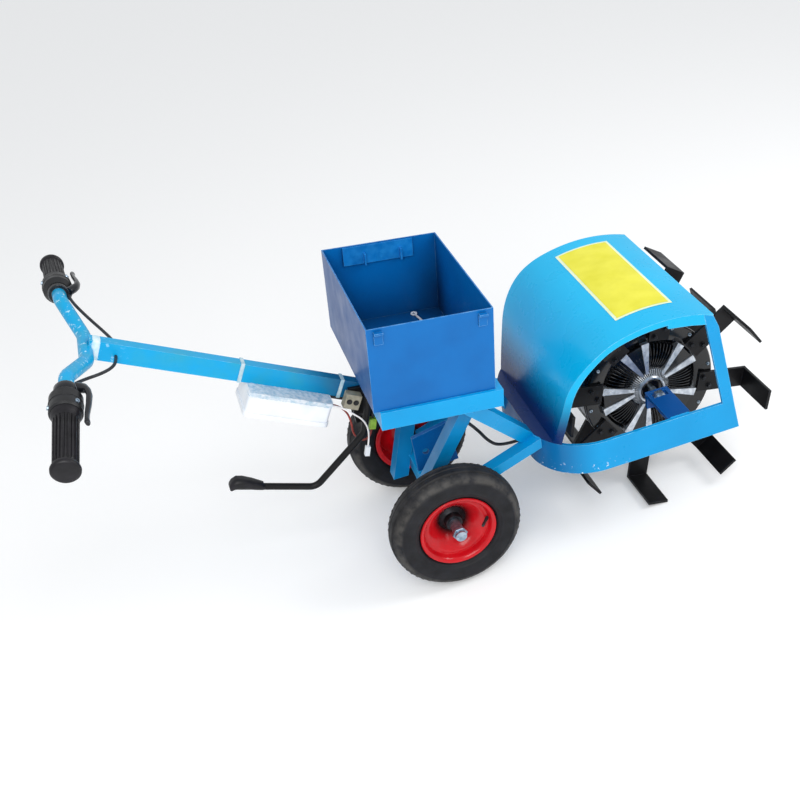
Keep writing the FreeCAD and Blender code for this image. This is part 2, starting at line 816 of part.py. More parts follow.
# ---------------------------------------------------------------- wheels
def rim(label, side):
    """Dished rim with its hub: turned about Z, which becomes the wheel's axis; +Z points outward."""
    body = new_body(label)
    profile = new_sketch(body, "XZ_Plane", "profile")
    bound_outline(profile, [
        ("#wheel_shaft_radius + #running_gap", "#hub_offset - #hub_length/2"),
        ("#hub_radius", "#hub_offset - #hub_length/2"),
        ("#hub_radius", "-#rim_width/2 + #rim_wall"),
        ("#rim_radius - 5*#rim_wall", "-#rim_width/2 + #rim_wall"),
        ("#rim_radius - 5*#rim_wall", "-#rim_width/2"),
        ("#rim_radius", "-#rim_width/2"),
        ("#rim_radius", "-#rim_width/2 + #rim_wall"),
        ("#rim_radius - 4*#rim_wall", "-#rim_width/2 + 2*#rim_wall"),
        ("#rim_radius - 4*#rim_wall", "#rim_width/2 - 2*#rim_wall"),
        ("#rim_radius", "#rim_width/2 - #rim_wall"),
        ("#rim_radius", "#rim_width/2"),
        ("#rim_radius - 5*#rim_wall", "#rim_width/2"),
        ("#rim_radius - 5*#rim_wall", "-#rim_width/2 + 2*#rim_wall"),
        ("#hub_radius", "-#rim_width/2 + 2*#rim_wall"),
        ("#hub_radius", "#hub_offset + #hub_length/2"),
        ("#wheel_shaft_radius + #running_gap", "#hub_offset + #hub_length/2"),
    ])
    add_turn(body, profile)
    body.Placement = Placement(Vector(STATION, side * size("tyre_track"), size("tyre_radius")),
                               TO_LEFT if side > 0 else TO_RIGHT)
    return body


def tyre(label, side):
    body = new_body(label)
    profile = new_sketch(body, "XZ_Plane", "profile")
    bound_outline(profile, [
        ("#rim_radius - 4*#rim_wall", "-#rim_width/2 + 2*#rim_wall"),
        ("#rim_radius", "-#rim_width/2 + #rim_wall"),
        ("#rim_radius + 6", "-#tyre_width/2 + 5"),
        ("#rim_radius + 20", "-#tyre_width/2"),
        ("#tyre_radius - 16", "-#tyre_width/2 + 2"),
        ("#tyre_radius - 4", "-#tyre_width/2 + 13"),
        ("#tyre_radius", "-#tyre_width/2 + 24"),
        ("#tyre_radius", "#tyre_width/2 - 24"),
        ("#tyre_radius - 4", "#tyre_width/2 - 13"),
        ("#tyre_radius - 16", "#tyre_width/2 - 2"),
        ("#rim_radius + 20", "#tyre_width/2"),
        ("#rim_radius + 6", "#tyre_width/2 - 5"),
        ("#rim_radius", "#rim_width/2 - #rim_wall"),
        ("#rim_radius - 4*#rim_wall", "#rim_width/2 - 2*#rim_wall"),
    ])
    add_turn(body, profile)
    body.Placement = Placement(Vector(STATION, side * size("tyre_track"), size("tyre_radius")),
                               TO_LEFT if side > 0 else TO_RIGHT)
    return body


# ---------------------------------------------------------------- rotor
ROTOR_CENTRE = Vector(STATION + size("rotor_x"), 0, size("rotor_z"))


def motor_shell():
    body = new_body("motor_shell")
    profile = new_sketch(body, "XZ_Plane", "profile")
    bound_outline(profile, [
        ("#motor_shaft_radius + #running_gap", "-#shell_half + 4"),
        ("#boss_radius", "-#shell_half + 4"),
        ("#boss_radius + 8", "-#shell_half + #shell_dish"),
        ("#shell_radius - #shell_rim - 6", "-#shell_half + #shell_dish"),
        ("#shell_radius - #shell_rim", "-#shell_half"),
        ("#shell_radius", "-#shell_half"),
        ("#shell_radius", "-#shell_half + 8"),
        ("#shell_radius - 10", "-#shell_half + 12"),
        ("#shell_radius - 10", "#shell_half - 12"),
        ("#shell_radius", "#shell_half - 8"),
        ("#shell_radius", "#shell_half"),
        ("#shell_radius - #shell_rim", "#shell_half"),
        ("#shell_radius - #shell_rim - 6", "#shell_half - #shell_dish"),
        ("#boss_radius + 8", "#shell_half - #shell_dish"),
        ("#boss_radius", "#shell_half - 4"),
        ("#motor_shaft_radius + #running_gap", "#shell_half - 4"),
    ])
    add_turn(body, profile)
    body.Placement = Placement(ROTOR_CENTRE, TO_LEFT)
    return body


def blade_set(label, side, phase):
    """L blades of one side: an arm on the shell's face and a leg turned outward, evenly turned about
    the shaft; phase is the first blade's turn, measured down from forward."""
    body = new_body(label, several=True)
    sign = "" if side > 0 else "-"
    out = "+" if side > 0 else "-"
    arm_face = f"{sign}#shell_half {out} #arm_thick"
    profile = new_sketch(body, "YZ_Plane", "profile")
    bound_outline(profile, [
        (f"{sign}#shell_half", "-#arm_inner"),
        (arm_face, "-#arm_inner"),
        (arm_face, "-#blade_flat + #blade_thick"),
        (f"{sign}#blade_end", "-#blade_flat + #blade_thick"),
        (f"{sign}#blade_end", "-#blade_flat"),
        (f"{sign}#shell_half", "-#blade_flat"),
    ])
    pad = add_pad(body, profile, "#blade_width", symmetric=True)
    doc.recompute()
    ring = body.newObject("PartDesign::PolarPattern", f"{label}_ring")
    ring.Originals = [pad]
    ring.Axis = (plane_of(body, "Y_Axis"), [""])
    ring.Angle = 360.0
    bind(ring, "Occurrences", "#blade_count")
    body.Tip = ring
    body.Placement = Placement(ROTOR_CENTRE, Rotation(AXIS_Y, phase - 90.0))
    return body


def motor_shaft():
    shaft = doc.addObject("Part::Cylinder", "motor_shaft")
    bind(shaft, "Radius", "#motor_shaft_radius")
    bind(shaft, "Height", "2*#motor_shaft_half")
    shaft.Placement = Placement(ROTOR_CENTRE - Vector(0, size("motor_shaft_half"), 0), TO_LEFT)
    return shaft


def motor_nuts():
    start = size("bracket_tab") + size("bracket_thick")
    return nut_pair("motor_nuts", "#motor_nut_flats", "#motor_nut_height", "#motor_shaft_radius",
                    ROTOR_CENTRE, start)


def motor_brackets():
    """Flat bars from the ring in to the shaft, each with a tab that holds the shaft's end."""
    body = new_body("motor_brackets", several=True)
    head = "#ring_bottom + #ring_height - #rotor_z"
    profile = new_sketch(body, "YZ_Plane", "profile")
    bound_outline(profile, [
        ("#bracket_tab", "-#bracket_drop"),
        ("#bracket_tab + #bracket_thick", "-#bracket_drop"),
        ("#bracket_tab + #bracket_thick", f"{head} - #bracket_thick"),
        ("#ring_half - #ring_thick", f"{head} - #bracket_thick"),
        ("#ring_half - #ring_thick", head),
        ("#bracket_tab", head),
    ])
    pad = add_pad(body, profile, "#bracket_width", symmetric=True)
    bore = new_sketch(body, "XZ_Plane", "bore")
    add_circle(bore, "#motor_shaft_radius + #running_gap")
    bore_cut = add_pocket(body, bore, "4*#bracket_tab", symmetric=True)
    window = new_sketch(body, "YZ_Plane", "window")
    bound_outline(window, [
        ("#bracket_tab + #bracket_thick", "-#bracket_window/2"),
        ("#bracket_tab + #bracket_thick + #nut_room", "-#bracket_window/2"),
        ("#bracket_tab + #bracket_thick + #nut_room", "#bracket_window/2"),
        ("#bracket_tab + #bracket_thick", "#bracket_window/2"),
    ])
    window_cut = add_pocket(body, window, "#bracket_window", symmetric=True)
    add_mirror(body, [pad, bore_cut, window_cut])
    body.Placement = Placement(ROTOR_CENTRE, Rotation())
    return body


# ---------------------------------------------------------------- pole and handlebar
BAR_POINTS = [
    Vector(-524, -335, 562),
    Vector(-507, -130, 586),
    Vector(-484, -42, 557),
    Vector(-484, 42, 557),
    Vector(-507, 130, 586),
    Vector(-524, 335, 562),
]


def bent_wire(points, radius=None):
    """Straight runs joined by tangent arcs: of one radius, or each as large as its two runs allow."""
    edges = []
    last = points[0]
    for before, corner, after in zip(points, points[1:], points[2:]):
        into = corner - before
        out = after - corner
        half_turn = into.getAngle(out) / 2
        shorter_run = min(into.Length, out.Length)
        bend = radius or 0.45 * shorter_run / math.tan(half_turn)
        into.normalize()
        out.normalize()
        reach = bend * math.tan(half_turn)
        start = corner - into * reach
        end = corner + out * reach
        inward = (out - into).normalize()
        middle = corner + inward * (bend / math.cos(half_turn) - bend)
        edges.append(Part.makeLine(last, start))
        edges.append(Part.Arc(start, middle, end).toShape())
        last = end
    edges.append(Part.makeLine(last, points[-1]))
    return Part.Wire(edges)


def swept(wire, radius):
    start = wire.Vertexes[0].Point
    heading = wire.Edges[0].tangentAt(wire.Edges[0].FirstParameter)
    if (wire.Edges[0].Vertexes[0].Point - start).Length > 1e-6:
        heading = heading * -1
    ring = Part.Wire(Part.makeCircle(radius, start, heading))
    return wire.makePipeShell([ring], True, True)


def shifted(points):
    return [point + Vector(STATION, 0, 0) for point in points]


def handlebar():
    wire = bent_wire(shifted(BAR_POINTS), size("bar_bend"))
    outer = swept(wire, size("bar_radius"))
    inner = swept(wire, size("bar_radius") - size("bar_wall"))
    return feature("handlebar", outer.cut(inner))


def bar_end(side):
    """Placement at one end of the bar: z runs inward along it."""
    end = BAR_POINTS[0] if side < 0 else BAR_POINTS[-1]
    before = BAR_POINTS[1] if side < 0 else BAR_POINTS[-2]
    return Placement(end + Vector(STATION, 0, 0), Rotation(AXIS_Z, before - end))


def grip(label, side):
    """Rubber sleeve with a flange and a closed end, turned about the bar."""
    body = new_body(label)
    bore = "#bar_radius + #running_gap"
    profile = new_sketch(body, "XZ_Plane", "profile")
    bound_outline(profile, [
        ("0", "-#grip_cap"),
        ("#grip_flange", "-#grip_cap"),
        ("#grip_flange", "#grip_flange_thick"),
        ("#grip_radius", "#grip_flange_thick"),
        ("#grip_radius", "#grip_length"),
        (bore, "#grip_length"),
        (bore, "0"),
        ("0", "0"),
    ])
    add_turn(body, profile)
    body.Placement = bar_end(side)
    return body


def throttle_housing(label, side):
    """Round housing of the throttle, clamped on the bar inboard of the grip."""
    body = new_body(label)
    bore = "#bar_radius + #running_gap"
    start = "#grip_length + #seat_gap"
    profile = new_sketch(body, "XZ_Plane", "profile")
    bound_outline(profile, [
        (bore, start),
        ("#housing_radius - 2", start),
        ("#housing_radius", f"{start} + 3"),
        ("#housing_radius", f"{start} + #housing_length - 9"),
        ("#perch_radius", f"{start} + #housing_length"),
        (bore, f"{start} + #housing_length"),
    ])
    add_turn(body, profile)
    body.Placement = bar_end(side)
    return body


def brake_lever(label, side):
    """Perch clamped beside the housing, with a lever that runs forward of the grip."""
    bore = size("bar_radius") + size("running_gap")
    length = size("perch_length")
    start = size("grip_length") + size("housing_length") + 2 * size("seat_gap")
    foot = Vector(0, 0, start)
    perch = Part.makeCylinder(size("perch_radius"), length, foot).cut(Part.makeCylinder(bore, length, foot))
    reach = size("lever_reach")
    thick = size("lever_thick")
    frame = bar_end(side)
    forward = frame.Rotation.inverted().multVec(Vector(1, 0, -0.25))
    forward.z = 0
    forward.normalize()
    across = Vector(0, 0, 1).cross(forward)
    base = Vector(0, 0, start + size("perch_length") / 2)
    knuckle = prism(base + forward * (bore + 3.0), 6.0, size("perch_length") / 2, across, AXIS_Z,
                    forward * (reach - bore - 3.0 + thick))
    blade_run = Vector(0, 0, -size("lever_length")) + forward * 4.0
    finger = prism(base + forward * reach, 6.0, thick / 2, across, forward, blade_run)
    finger.translate(forward * (thick / 2))
    whole = perch.fuse([knuckle, finger]).removeSplitter()
    return feature(label, whole, frame)


def trimmed(label, base, tools):
    """The base with one document object after another cut away from it."""
    for index, tool in enumerate(tools, start=1):
        cut = doc.addObject("Part::Cut", f"{label}_cut_{index}")
        cut.Base = base
        cut.Tool = tool
        base = cut
    base.Label = label
    return base


def frame_block(name, depth, behind, placement):
    """Cutting block: all above a plane this far below the box floor, seen from a piece's own frame."""
    block = doc.addObject("Part::Box", name)
    block.Length = 2000.0
    block.Width = 2000.0
    block.Height = 1000.0
    corner = Placement(Vector(-behind, -1000.0, -depth), Rotation())
    block.Placement = placement.inverse().multiply(BOX_FRAME).multiply(corner)
    return block


def pole():
    """Rectangular tube, coped at its top end to the handlebar and butted to the angle frame."""
    body = new_body("pole_tube")
    outer = new_sketch(body, "YZ_Plane", "outer")
    bound_outline(outer, rectangle("#pole_width/2", "#pole_height/2"))
    add_pad(body, outer, "#pole_length", reverse=True)
    inner = new_sketch(body, "YZ_Plane", "inner")
    bound_outline(inner, inset(rectangle("#pole_width/2", "#pole_height/2"), "#pole_wall"))
    add_pocket(body, inner, "#pole_length")
    centre = POLE_FRAME.inverse().multVec(BAR_POINTS[2] + Vector(STATION, -BAR_POINTS[2].y, 0))
    seat = doc.addObject("Part::Cylinder", "pole_seat")
    bind(seat, "Radius", "#bar_radius")
    bind(seat, "Height", "4*#pole_width")
    seat.Placement = Placement(centre - Vector(0, 2 * size("pole_width"), 0), TO_LEFT)
    beyond = doc.addObject("Part::Box", "pole_beyond")
    bind(beyond, "Length", "3*#pole_width")
    bind(beyond, "Width", "4*#pole_width")
    bind(beyond, "Height", "6*#pole_height")
    reach = Vector(-3 * size("pole_width"), -2 * size("pole_width"), -3 * size("pole_height"))
    beyond.Placement = Placement(centre + reach, Rotation())
    block = frame_block("pole_frame_block", size("angle_leg"), size("frame_rear"), POLE_FRAME)
    piece = trimmed("pole", body, [seat, beyond, block])
    piece.Placement = POLE_FRAME
    return piece


def pole_cheeks():
    """Two plates welded under the rear of the angle frame, one each side of the pole."""
    body = new_body("cheek_plates", several=True)
    outline = new_sketch(body, "XZ_Plane", "outline", "#pole_width/2")
    bound_outline(outline, [
        ("0", "0"),
        ("#cheek_length", "0"),
        ("#cheek_length", "#cheek_drop + 3*#angle_leg"),
        ("0", "#cheek_drop + 3*#angle_leg"),
    ])
    plate = add_pad(body, outline, "#cheek_thick")
    hitch = new_sketch(body, "XZ_Plane", "hitch")
    add_circle(hitch, "#hitch_radius", "#hitch_inset", "#hitch_inset")
    bore = add_pocket(body, hitch, "4*#pole_width", symmetric=True)
    add_mirror(body, [plate, bore])
    corner = Vector(STATION + size("pole_x") + size("cheek_ahead") - size("cheek_length"), 0,
                    size("pole_z") - size("cheek_drop"))
    place = Placement(corner, Rotation())
    block = frame_block("cheek_frame_block", size("angle_leg"), 1000.0, place)
    piece = trimmed("pole_cheeks", body, [block])
    piece.Placement = place
    return piece


# ---------------------------------------------------------------- controller case and rear rest
def controller_case():
    body = new_body("controller_case")
    outline = [
        ("-#case_front - #case_length", "-#case_width/2"),
        ("-#case_front", "-#case_width/2"),
        ("-#case_front", "#case_width/2"),
        ("-#case_front - #case_length", "#case_width/2"),
    ]
    outer = new_sketch(body, "XY_Plane", "outer", "-#pole_height/2")
    bound_outline(outer, outline)
    block = add_pad(body, outer, "#case_height", reverse=True)
    add_fillet(body, block, AXIS_Z, "#case_corner")
    inner = new_sketch(body, "XY_Plane", "inner", "-#pole_height/2 - #case_wall")
    bound_outline(inner, inset(outline, "#case_wall"))
    add_pocket(body, inner, "#case_height")
    body.Placement = POLE_FRAME
    return body


def controller_lid():
    body = new_body("controller_lid")
    outline = [
        ("-#case_front - #case_length - #lid_rim", "-#case_width/2 - #lid_rim"),
        ("-#case_front + #lid_rim", "-#case_width/2 - #lid_rim"),
        ("-#case_front + #lid_rim", "#case_width/2 + #lid_rim"),
        ("-#case_front - #case_length - #lid_rim", "#case_width/2 + #lid_rim"),
    ]
    outer = new_sketch(body, "XY_Plane", "outer", "-#pole_height/2 - #case_height")
    bound_outline(outer, outline)
    block = add_pad(body, outer, "#lid_height", reverse=True)
    add_fillet(body, block, AXIS_Z, "#case_corner + #lid_rim")
    body.Placement = POLE_FRAME
    return body


def cable_ties():
    """Bands round the pole, ahead of and behind the controller case."""
    body = new_body("cable_ties", several=True)
    stations = (
        ("front", "-#case_front + #tie_reach"),
        ("rear", "-#case_front - #case_length - #tie_reach"),
    )
    for name, station in stations:
        band = new_sketch(body, "YZ_Plane", name, station)
        bound_outline(band, [
            ("-#pole_width/2 - #tie_thick", "-#pole_height/2 - #tie_thick"),
            ("#pole_width/2 + #tie_thick", "-#pole_height/2 - #tie_thick"),
            ("#pole_width/2 + #tie_thick", "#pole_height/2 + #tie_thick"),
            ("-#pole_width/2 - #tie_thick", "#pole_height/2 + #tie_thick"),
        ])
        add_pad(body, band, "#tie_width", symmetric=True)
    inner = new_sketch(body, "YZ_Plane", "inner")
    bound_outline(inner, rectangle("#pole_width/2", "#pole_height/2"))
    add_pocket(body, inner, "2*#pole_length", symmetric=True)
    body.Placement = POLE_FRAME
    return body


def wire_connector():
    """Moulded socket housing on the right cheek plate, in line with the pole."""
    body = new_body("wire_connector")
    outline = new_sketch(body, "XZ_Plane", "outline", "#pole_width/2 + #cheek_thick + #connector_seat")
    low = "#connector_top - #connector_height"
    bound_outline(outline, [
        ("-#connector_front - #connector_length", low),
        ("-#connector_front", low),
        ("-#connector_front", "#connector_top"),
        ("-#connector_front - #connector_length", "#connector_top"),
    ])
    add_pad(body, outline, "#connector_width")
    body.Placement = POLE_FRAME
    return body


def rest_points():
    head = BOX_FRAME.multVec(Vector(-size("frame_rear") + size("angle_leg") / 2, 0, -size("angle_wall")))
    head = Vector(head.x - STATION, size("rest_y"), head.z)
    return shifted([
        head,
        Vector(-104, size("rest_y"), 283),
        Vector(-208, size("rest_y"), 204),
        Vector(-340, size("rest_y"), 256),
    ])


def rear_rest():
    wire = bent_wire(rest_points(), 22.0)
    rod = swept(wire, size("rest_radius"))
    flange_top = BOX_FRAME.multiply(Placement(Vector(-500, -500, -size("angle_wall")), Rotation()))
    block = Part.makeBox(1000, 1000, 300)
    block.Placement = flange_top
    return feature("rear_rest", rod.cut(block))


def rest_pad():
    """Rubber shoe on the end of the rest rod: round on top, flat underneath."""
    points = rest_points()
    end, before = points[-1], points[-2]
    length = size("pad_length")
    radius = size("pad_radius")
    heading = (end - before).normalize()
    shoe = Part.makeCylinder(radius, length)
    sole = Part.makeBox(2 * radius, 2 * radius, length, Vector(-3 * radius + 5.0, -radius, 0))
    shoe = shoe.cut(sole)
    shoe = shoe.cut(Part.makeCylinder(size("rest_radius") + size("running_gap"), length - 6.0))
    base = end - heading * (length - 6.0)
    side_axis = AXIS_Y
    up_axis = heading.cross(side_axis)
    if up_axis.z < 0:
        up_axis = up_axis * -1
    turn = Rotation(up_axis, up_axis.cross(heading) * -1, heading, "ZXY")
    return feature("rest_pad", shoe, Placement(base, turn))


# ---------------------------------------------------------------- build
# ---------------------------------------------------------------- cables, wires and plugs
PLACES = {
    "machine": Placement(Vector(STATION, 0, 0), Rotation()),
    "ring": Placement(Vector(STATION + size("ring_rear"), 0, 0), Rotation()),
    "left_shoulder": Placement(BAR_POINTS[-2] + Vector(STATION, 0, 0), Rotation()),
    "right_shoulder": Placement(BAR_POINTS[1] + Vector(STATION, 0, 0), Rotation()),
    "pole": POLE_FRAME,
    "box": BOX_FRAME,
}
# Route points, each measured from the piece it goes with.
ROUTES = {
    "left_cable": [
        ("left_shoulder", 11.4, 28.8, -6.8),
        ("left_shoulder", 13.9, -0.9, -3.3),
        ("left_shoulder", 33.0, -42.0, -20.0),
        ("left_shoulder", 55.0, -78.0, -40.0),
        ("pole", -436.1, 30.0, 0.0),
        ("pole", -436.1, 10.1, 0.0),
    ],
    "right_cable": [
        ("right_shoulder", -2.2, -26.2, -17.4),
        ("right_shoulder", 0.8, 3.0, -17.2),
        ("right_shoulder", 11.0, 39.4, -32.5),
        ("right_shoulder", 45.0, 70.0, -46.0),
        ("pole", -436.1, -34.0, -4.0),
        ("pole", -436.1, -10.1, -4.0),
    ],
    "motor_cable": [
        ("pole", -83.9, 0.0, -23.0),
        ("pole", -40.0, 0.0, -23.0),
        ("machine", -66.0, -2.0, 310.0),
        ("machine", -22.0, -10.0, 300.0),
        ("machine", 24.0, -26.0, 288.0),
        ("machine", 64.0, -42.0, 262.0),
        ("machine", 94.0, -48.0, 224.0),
        ("ring", -68.0, -44.0, 188.0),
        ("ring", -44.0, -34.0, 162.0),
        ("ring", -10.0, -34.0, 162.0),
    ],
    "red_wire": [
        ("pole", -83.9, -28.0, -24.0),
        ("pole", -70.5, -28.0, -24.0),
        ("machine", -121.0, -25.0, 322.0),
        ("machine", -119.0, -24.0, 298.0),
        ("machine", -121.0, -24.0, 276.0),
        ("machine", -110.0, -25.0, 258.0),
        ("machine", -92.0, -26.0, 262.0),
        ("machine", -87.0, -26.0, 279.5),
    ],
    "battery_lead": [
        ("machine", -81.6, -26.0, 298.7),
        ("machine", -76.3, -26.0, 317.6),
        ("machine", -77.0, -28.0, 340.0),
        ("machine", -74.6, -26.0, 362.3),
        ("box", -80.0, -26.0, -4.08),
    ],
    "white_wire": [
        ("pole", -83.9, -36.0, -22.0),
        ("pole", -69.9, -36.0, -22.0),
        ("machine", -116.0, -49.0, 334.0),
        ("machine", -101.0, -52.0, 318.0),
        ("machine", -96.0, -52.0, 296.0),
        ("machine", -100.0, -52.0, 274.0),
        ("machine", -104.0, -52.0, 262.0),
    ],
    "box_lead": [
        ("box", 100.8, -10.0, 4.3),
        ("box", 84.0, -9.0, 4.3),
        ("box", 68.0, 4.0, 4.3),
        ("box", 60.0, 28.0, 4.3),
        ("box", 57.0, 54.0, 4.3),
        ("box", 59.0, 80.0, 4.3),
        ("box", 57.0, 106.0, 4.3),
        ("box", 51.0, 136.0, 4.3),
    ],
}


def route(label):
    points = []
    for place, across, aside, up in ROUTES[label]:
        points.append(PLACES[place].multVec(Vector(across, aside, up)))
    return points


def bend_radii(points):
    radii = []
    for before, corner, after in zip(points, points[1:], points[2:]):
        half_turn = (corner - before).getAngle(after - corner) / 2
        shorter_run = min((corner - before).Length, (after - corner).Length)
        radii.append(0.45 * shorter_run / math.tan(half_turn))
    return radii


def cord(label, diameter):
    """Round cord along its route, each bend as wide as its two runs allow."""
    points = route(label)
    wire = bent_wire(points)
    radius = size(diameter) / 2
    shape = swept(wire, radius)
    expected = math.pi * radius * radius * wire.Length
    tightest = min(bend_radii(points)) / size(diameter)
    steepest = max((b - a).getAngle(c - b) for a, b, c in zip(points, points[1:], points[2:]))
    print(f"{label:14s} length {wire.Length:6.1f}  tightest bend {tightest:5.1f} diameters  "
          f"steepest turn {math.degrees(steepest):5.1f}  volume ratio {shape.Volume / expected:7.4f}")
    if abs(shape.Volume / expected - 1) > 0.01:
        raise RuntimeError(f"{label} is not swept whole")
    return feature(label, shape)


def follow(end, before):
    """Placement at a cord's end, with z running on in the cord's direction."""
    run = end - before
    turn = math.degrees(math.atan2(run.x, run.z))
    return Placement(end, Rotation(AXIS_Y, turn))


def plug(label, cross, length):
    """Square moulded plug that runs on from a wire's end."""
    block = doc.addObject("Part::Box", label)
    bind(block, "Length", cross)
    bind(block, "Width", cross)
    bind(block, "Height", length)
    half = size(cross[1:]) / 2
    points = route({"wire_plug": "red_wire", "lead_plug": "white_wire"}[label])
    centred = Placement(Vector(-half, -half, 0), Rotation())
    block.Placement = follow(points[-1], points[-2]).multiply(centred)
    return block


def cable_gland():
    """Gland on the rear of the guard ring that takes the motor cable through."""
    gland = doc.addObject("Part::Cylinder", "cable_gland")
    bind(gland, "Radius", "#gland_radius")
    bind(gland, "Height", "#gland_length")
    gland.Placement = Placement(route("motor_cable")[-1] + Vector(0.1, 0, 0), Rotation(AXIS_Y, 90))
    return gland


def lead_terminal():
    """Ring terminal on the end of the lead that lies in the box."""
    body = new_body("lead_terminal")
    ring = new_sketch(body, "XY_Plane", "ring")
    add_circle(ring, "#terminal_radius")
    add_circle(ring, "#terminal_bore")
    add_pad(body, ring, "#terminal_thick", symmetric=True)
    points = route("box_lead")
    onward = (points[-1] - points[-2]).normalize()
    body.Placement = Placement(points[-1] + onward * size("terminal_radius"), BOX_FRAME.Rotation)
    return body


def build_all():
    items = [battery_box(), box_frame(), box_hooks(), hinge_plate()]
    items += [axle_beam(), wheel_shaft(), wheel_nuts(), rear_legs(), side_braces(), front_stays()]
    items += [centre_gusset()]
    items += [guard_ring(), hood(), motor_brackets(), motor_shaft(), motor_nuts()]
    items += [rim("left_rim", 1), tyre("left_tyre", 1), rim("right_rim", -1), tyre("right_tyre", -1)]
    items += [motor_shell(), blade_set("right_blades", -1, size("near_phase"))]
    items += [blade_set("left_blades", 1, size("near_phase") - 180.0 / size("blade_count"))]
    items += [pole(), pole_cheeks(), handlebar()]
    items += [grip("left_grip", 1), grip("right_grip", -1)]
    items += [throttle_housing("left_housing", 1), throttle_housing("right_housing", -1)]
    items += [brake_lever("left_lever", 1), brake_lever("right_lever", -1)]
    items += [controller_case(), controller_lid(), cable_ties(), wire_connector(), rear_rest(), rest_pad()]
    items += [cord("left_cable", "lever_cable_size"), cord("right_cable", "lever_cable_size")]
    items += [cord("motor_cable", "motor_cable_size"), cable_gland()]
    items += [cord("red_wire", "power_wire_size"), plug("wire_plug", "#wire_plug_size", "#wire_plug_length")]
    items += [cord("battery_lead", "power_wire_size"), cord("white_wire", "signal_wire_size")]
    items += [plug("lead_plug", "#lead_plug_size", "#lead_plug_length")]
    items += [cord("box_lead", "box_lead_size"), lead_terminal()]
    return items


def check(items):
    doc.recompute()
    for item in doc.Objects:
        if "Invalid" in item.State or "Error" in item.State:
            raise RuntimeError(f"{item.Label} failed: {item.State}")
    for item in items:
        if item.Shape.isNull() or not item.Shape.isValid():
            raise RuntimeError(f"{item.Label} has no valid shape")


def export(items):
    os.makedirs("parts", exist_ok=True)
    for item in items:
        item.Shape.exportStep(f"parts/{item.Label}.step")
        bounds = item.Shape.BoundBox
        count = len(item.Shape.Solids)
        print(f"{item.Label:18s} solids {count:2d} volume {item.Shape.Volume / 1000:9.1f} cm3"
              f"  x {bounds.XMin:7.1f} {bounds.XMax:7.1f}  y {bounds.YMin:7.1f} {bounds.YMax:7.1f}"
              f"  z {bounds.ZMin:7.1f} {bounds.ZMax:7.1f}")


pieces = build_all()
check(pieces)
export(pieces)
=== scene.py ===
import math
import random

import bmesh
import bpy
from mathutils import Matrix, Vector
from mathutils.bvhtree import BVHTree


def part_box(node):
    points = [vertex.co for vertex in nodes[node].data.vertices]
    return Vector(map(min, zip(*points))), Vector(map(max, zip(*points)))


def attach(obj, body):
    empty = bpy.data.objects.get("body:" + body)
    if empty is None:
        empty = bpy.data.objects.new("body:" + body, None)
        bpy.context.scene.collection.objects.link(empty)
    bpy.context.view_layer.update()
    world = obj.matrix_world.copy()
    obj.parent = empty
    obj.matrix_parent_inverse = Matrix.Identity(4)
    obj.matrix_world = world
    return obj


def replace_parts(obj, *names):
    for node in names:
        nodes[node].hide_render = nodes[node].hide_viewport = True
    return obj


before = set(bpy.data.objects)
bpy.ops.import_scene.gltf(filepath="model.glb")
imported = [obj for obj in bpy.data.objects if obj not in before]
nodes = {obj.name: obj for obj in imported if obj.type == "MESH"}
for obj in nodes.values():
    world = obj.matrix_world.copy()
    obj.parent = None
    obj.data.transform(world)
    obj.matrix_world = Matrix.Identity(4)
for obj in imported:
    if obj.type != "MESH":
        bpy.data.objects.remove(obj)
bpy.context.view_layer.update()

# ---------------------------------------------------------------- camera, floor and lamps
# A person standing to the machine's right and a little behind it looks down at it. The floor is
# plain pale board, and two soft boxes light it from the camera's side and from ahead.
ahead = Vector((0.19809, 0.76024, -0.61871)).normalized()
upward = Vector((0.30368, 0.55256, 0.77618)).normalized()
rightward = ahead.cross(upward).normalized()
lens = bpy.data.cameras.new("camera")
lens.lens = 49.5
lens.sensor_width = 36.0
lens.shift_x = -0.1345
lens.shift_y = 0.1092
camera = bpy.data.objects.new("camera", lens)
axes = Matrix((rightward, rightward.cross(ahead), -ahead)).transposed()
camera.matrix_world = axes.to_4x4()
camera.matrix_world.translation = Vector((-0.3233, -1.6276, 1.3597))
bpy.context.scene.collection.objects.link(camera)
bpy.context.scene.camera = camera
bpy.context.scene.view_settings.view_transform = "Standard"


def linear(code):
    """An sRGB hex colour as linear red, green, blue and alpha."""
    parts = []
    for start in (1, 3, 5):
        value = int(code[start:start + 2], 16) / 255
        parts.append(value / 12.92 if value <= 0.04045 else ((value + 0.055) / 1.055) ** 2.4)
    return (*parts, 1.0)


def add(tree, kind, settings=None, links=None):
    """One more node; settings name its properties or sockets, and links its sockets."""
    node = tree.nodes.new(kind)
    for name, value in (settings or {}).items():
        if isinstance(name, int) or name in node.inputs:
            node.inputs[name].default_value = value
        else:
            setattr(node, name, value)
    for name, source in (links or {}).items():
        tree.links.new(source, node.inputs[name])
    return node


world = bpy.data.worlds.new("studio")
bpy.context.scene.world = world
world.use_nodes = True
air = world.node_tree
air.nodes.clear()
rays = add(air, "ShaderNodeLightPath").outputs
seen = add(air, "ShaderNodeMath", {"operation": "MAXIMUM"},
           {0: rays["Is Camera Ray"], 1: rays["Is Transmission Ray"]})
room = add(air, "ShaderNodeBackground", {"Color": linear("#f2f4f6"), "Strength": 0.8})
white = add(air, "ShaderNodeBackground", {"Color": (1, 1, 1, 1), "Strength": 1.0})
either = add(air, "ShaderNodeMixShader", None,
             {0: seen.outputs[0], 1: room.outputs[0], 2: white.outputs[0]})
add(air, "ShaderNodeOutputWorld", None, {"Surface": either.outputs[0]})

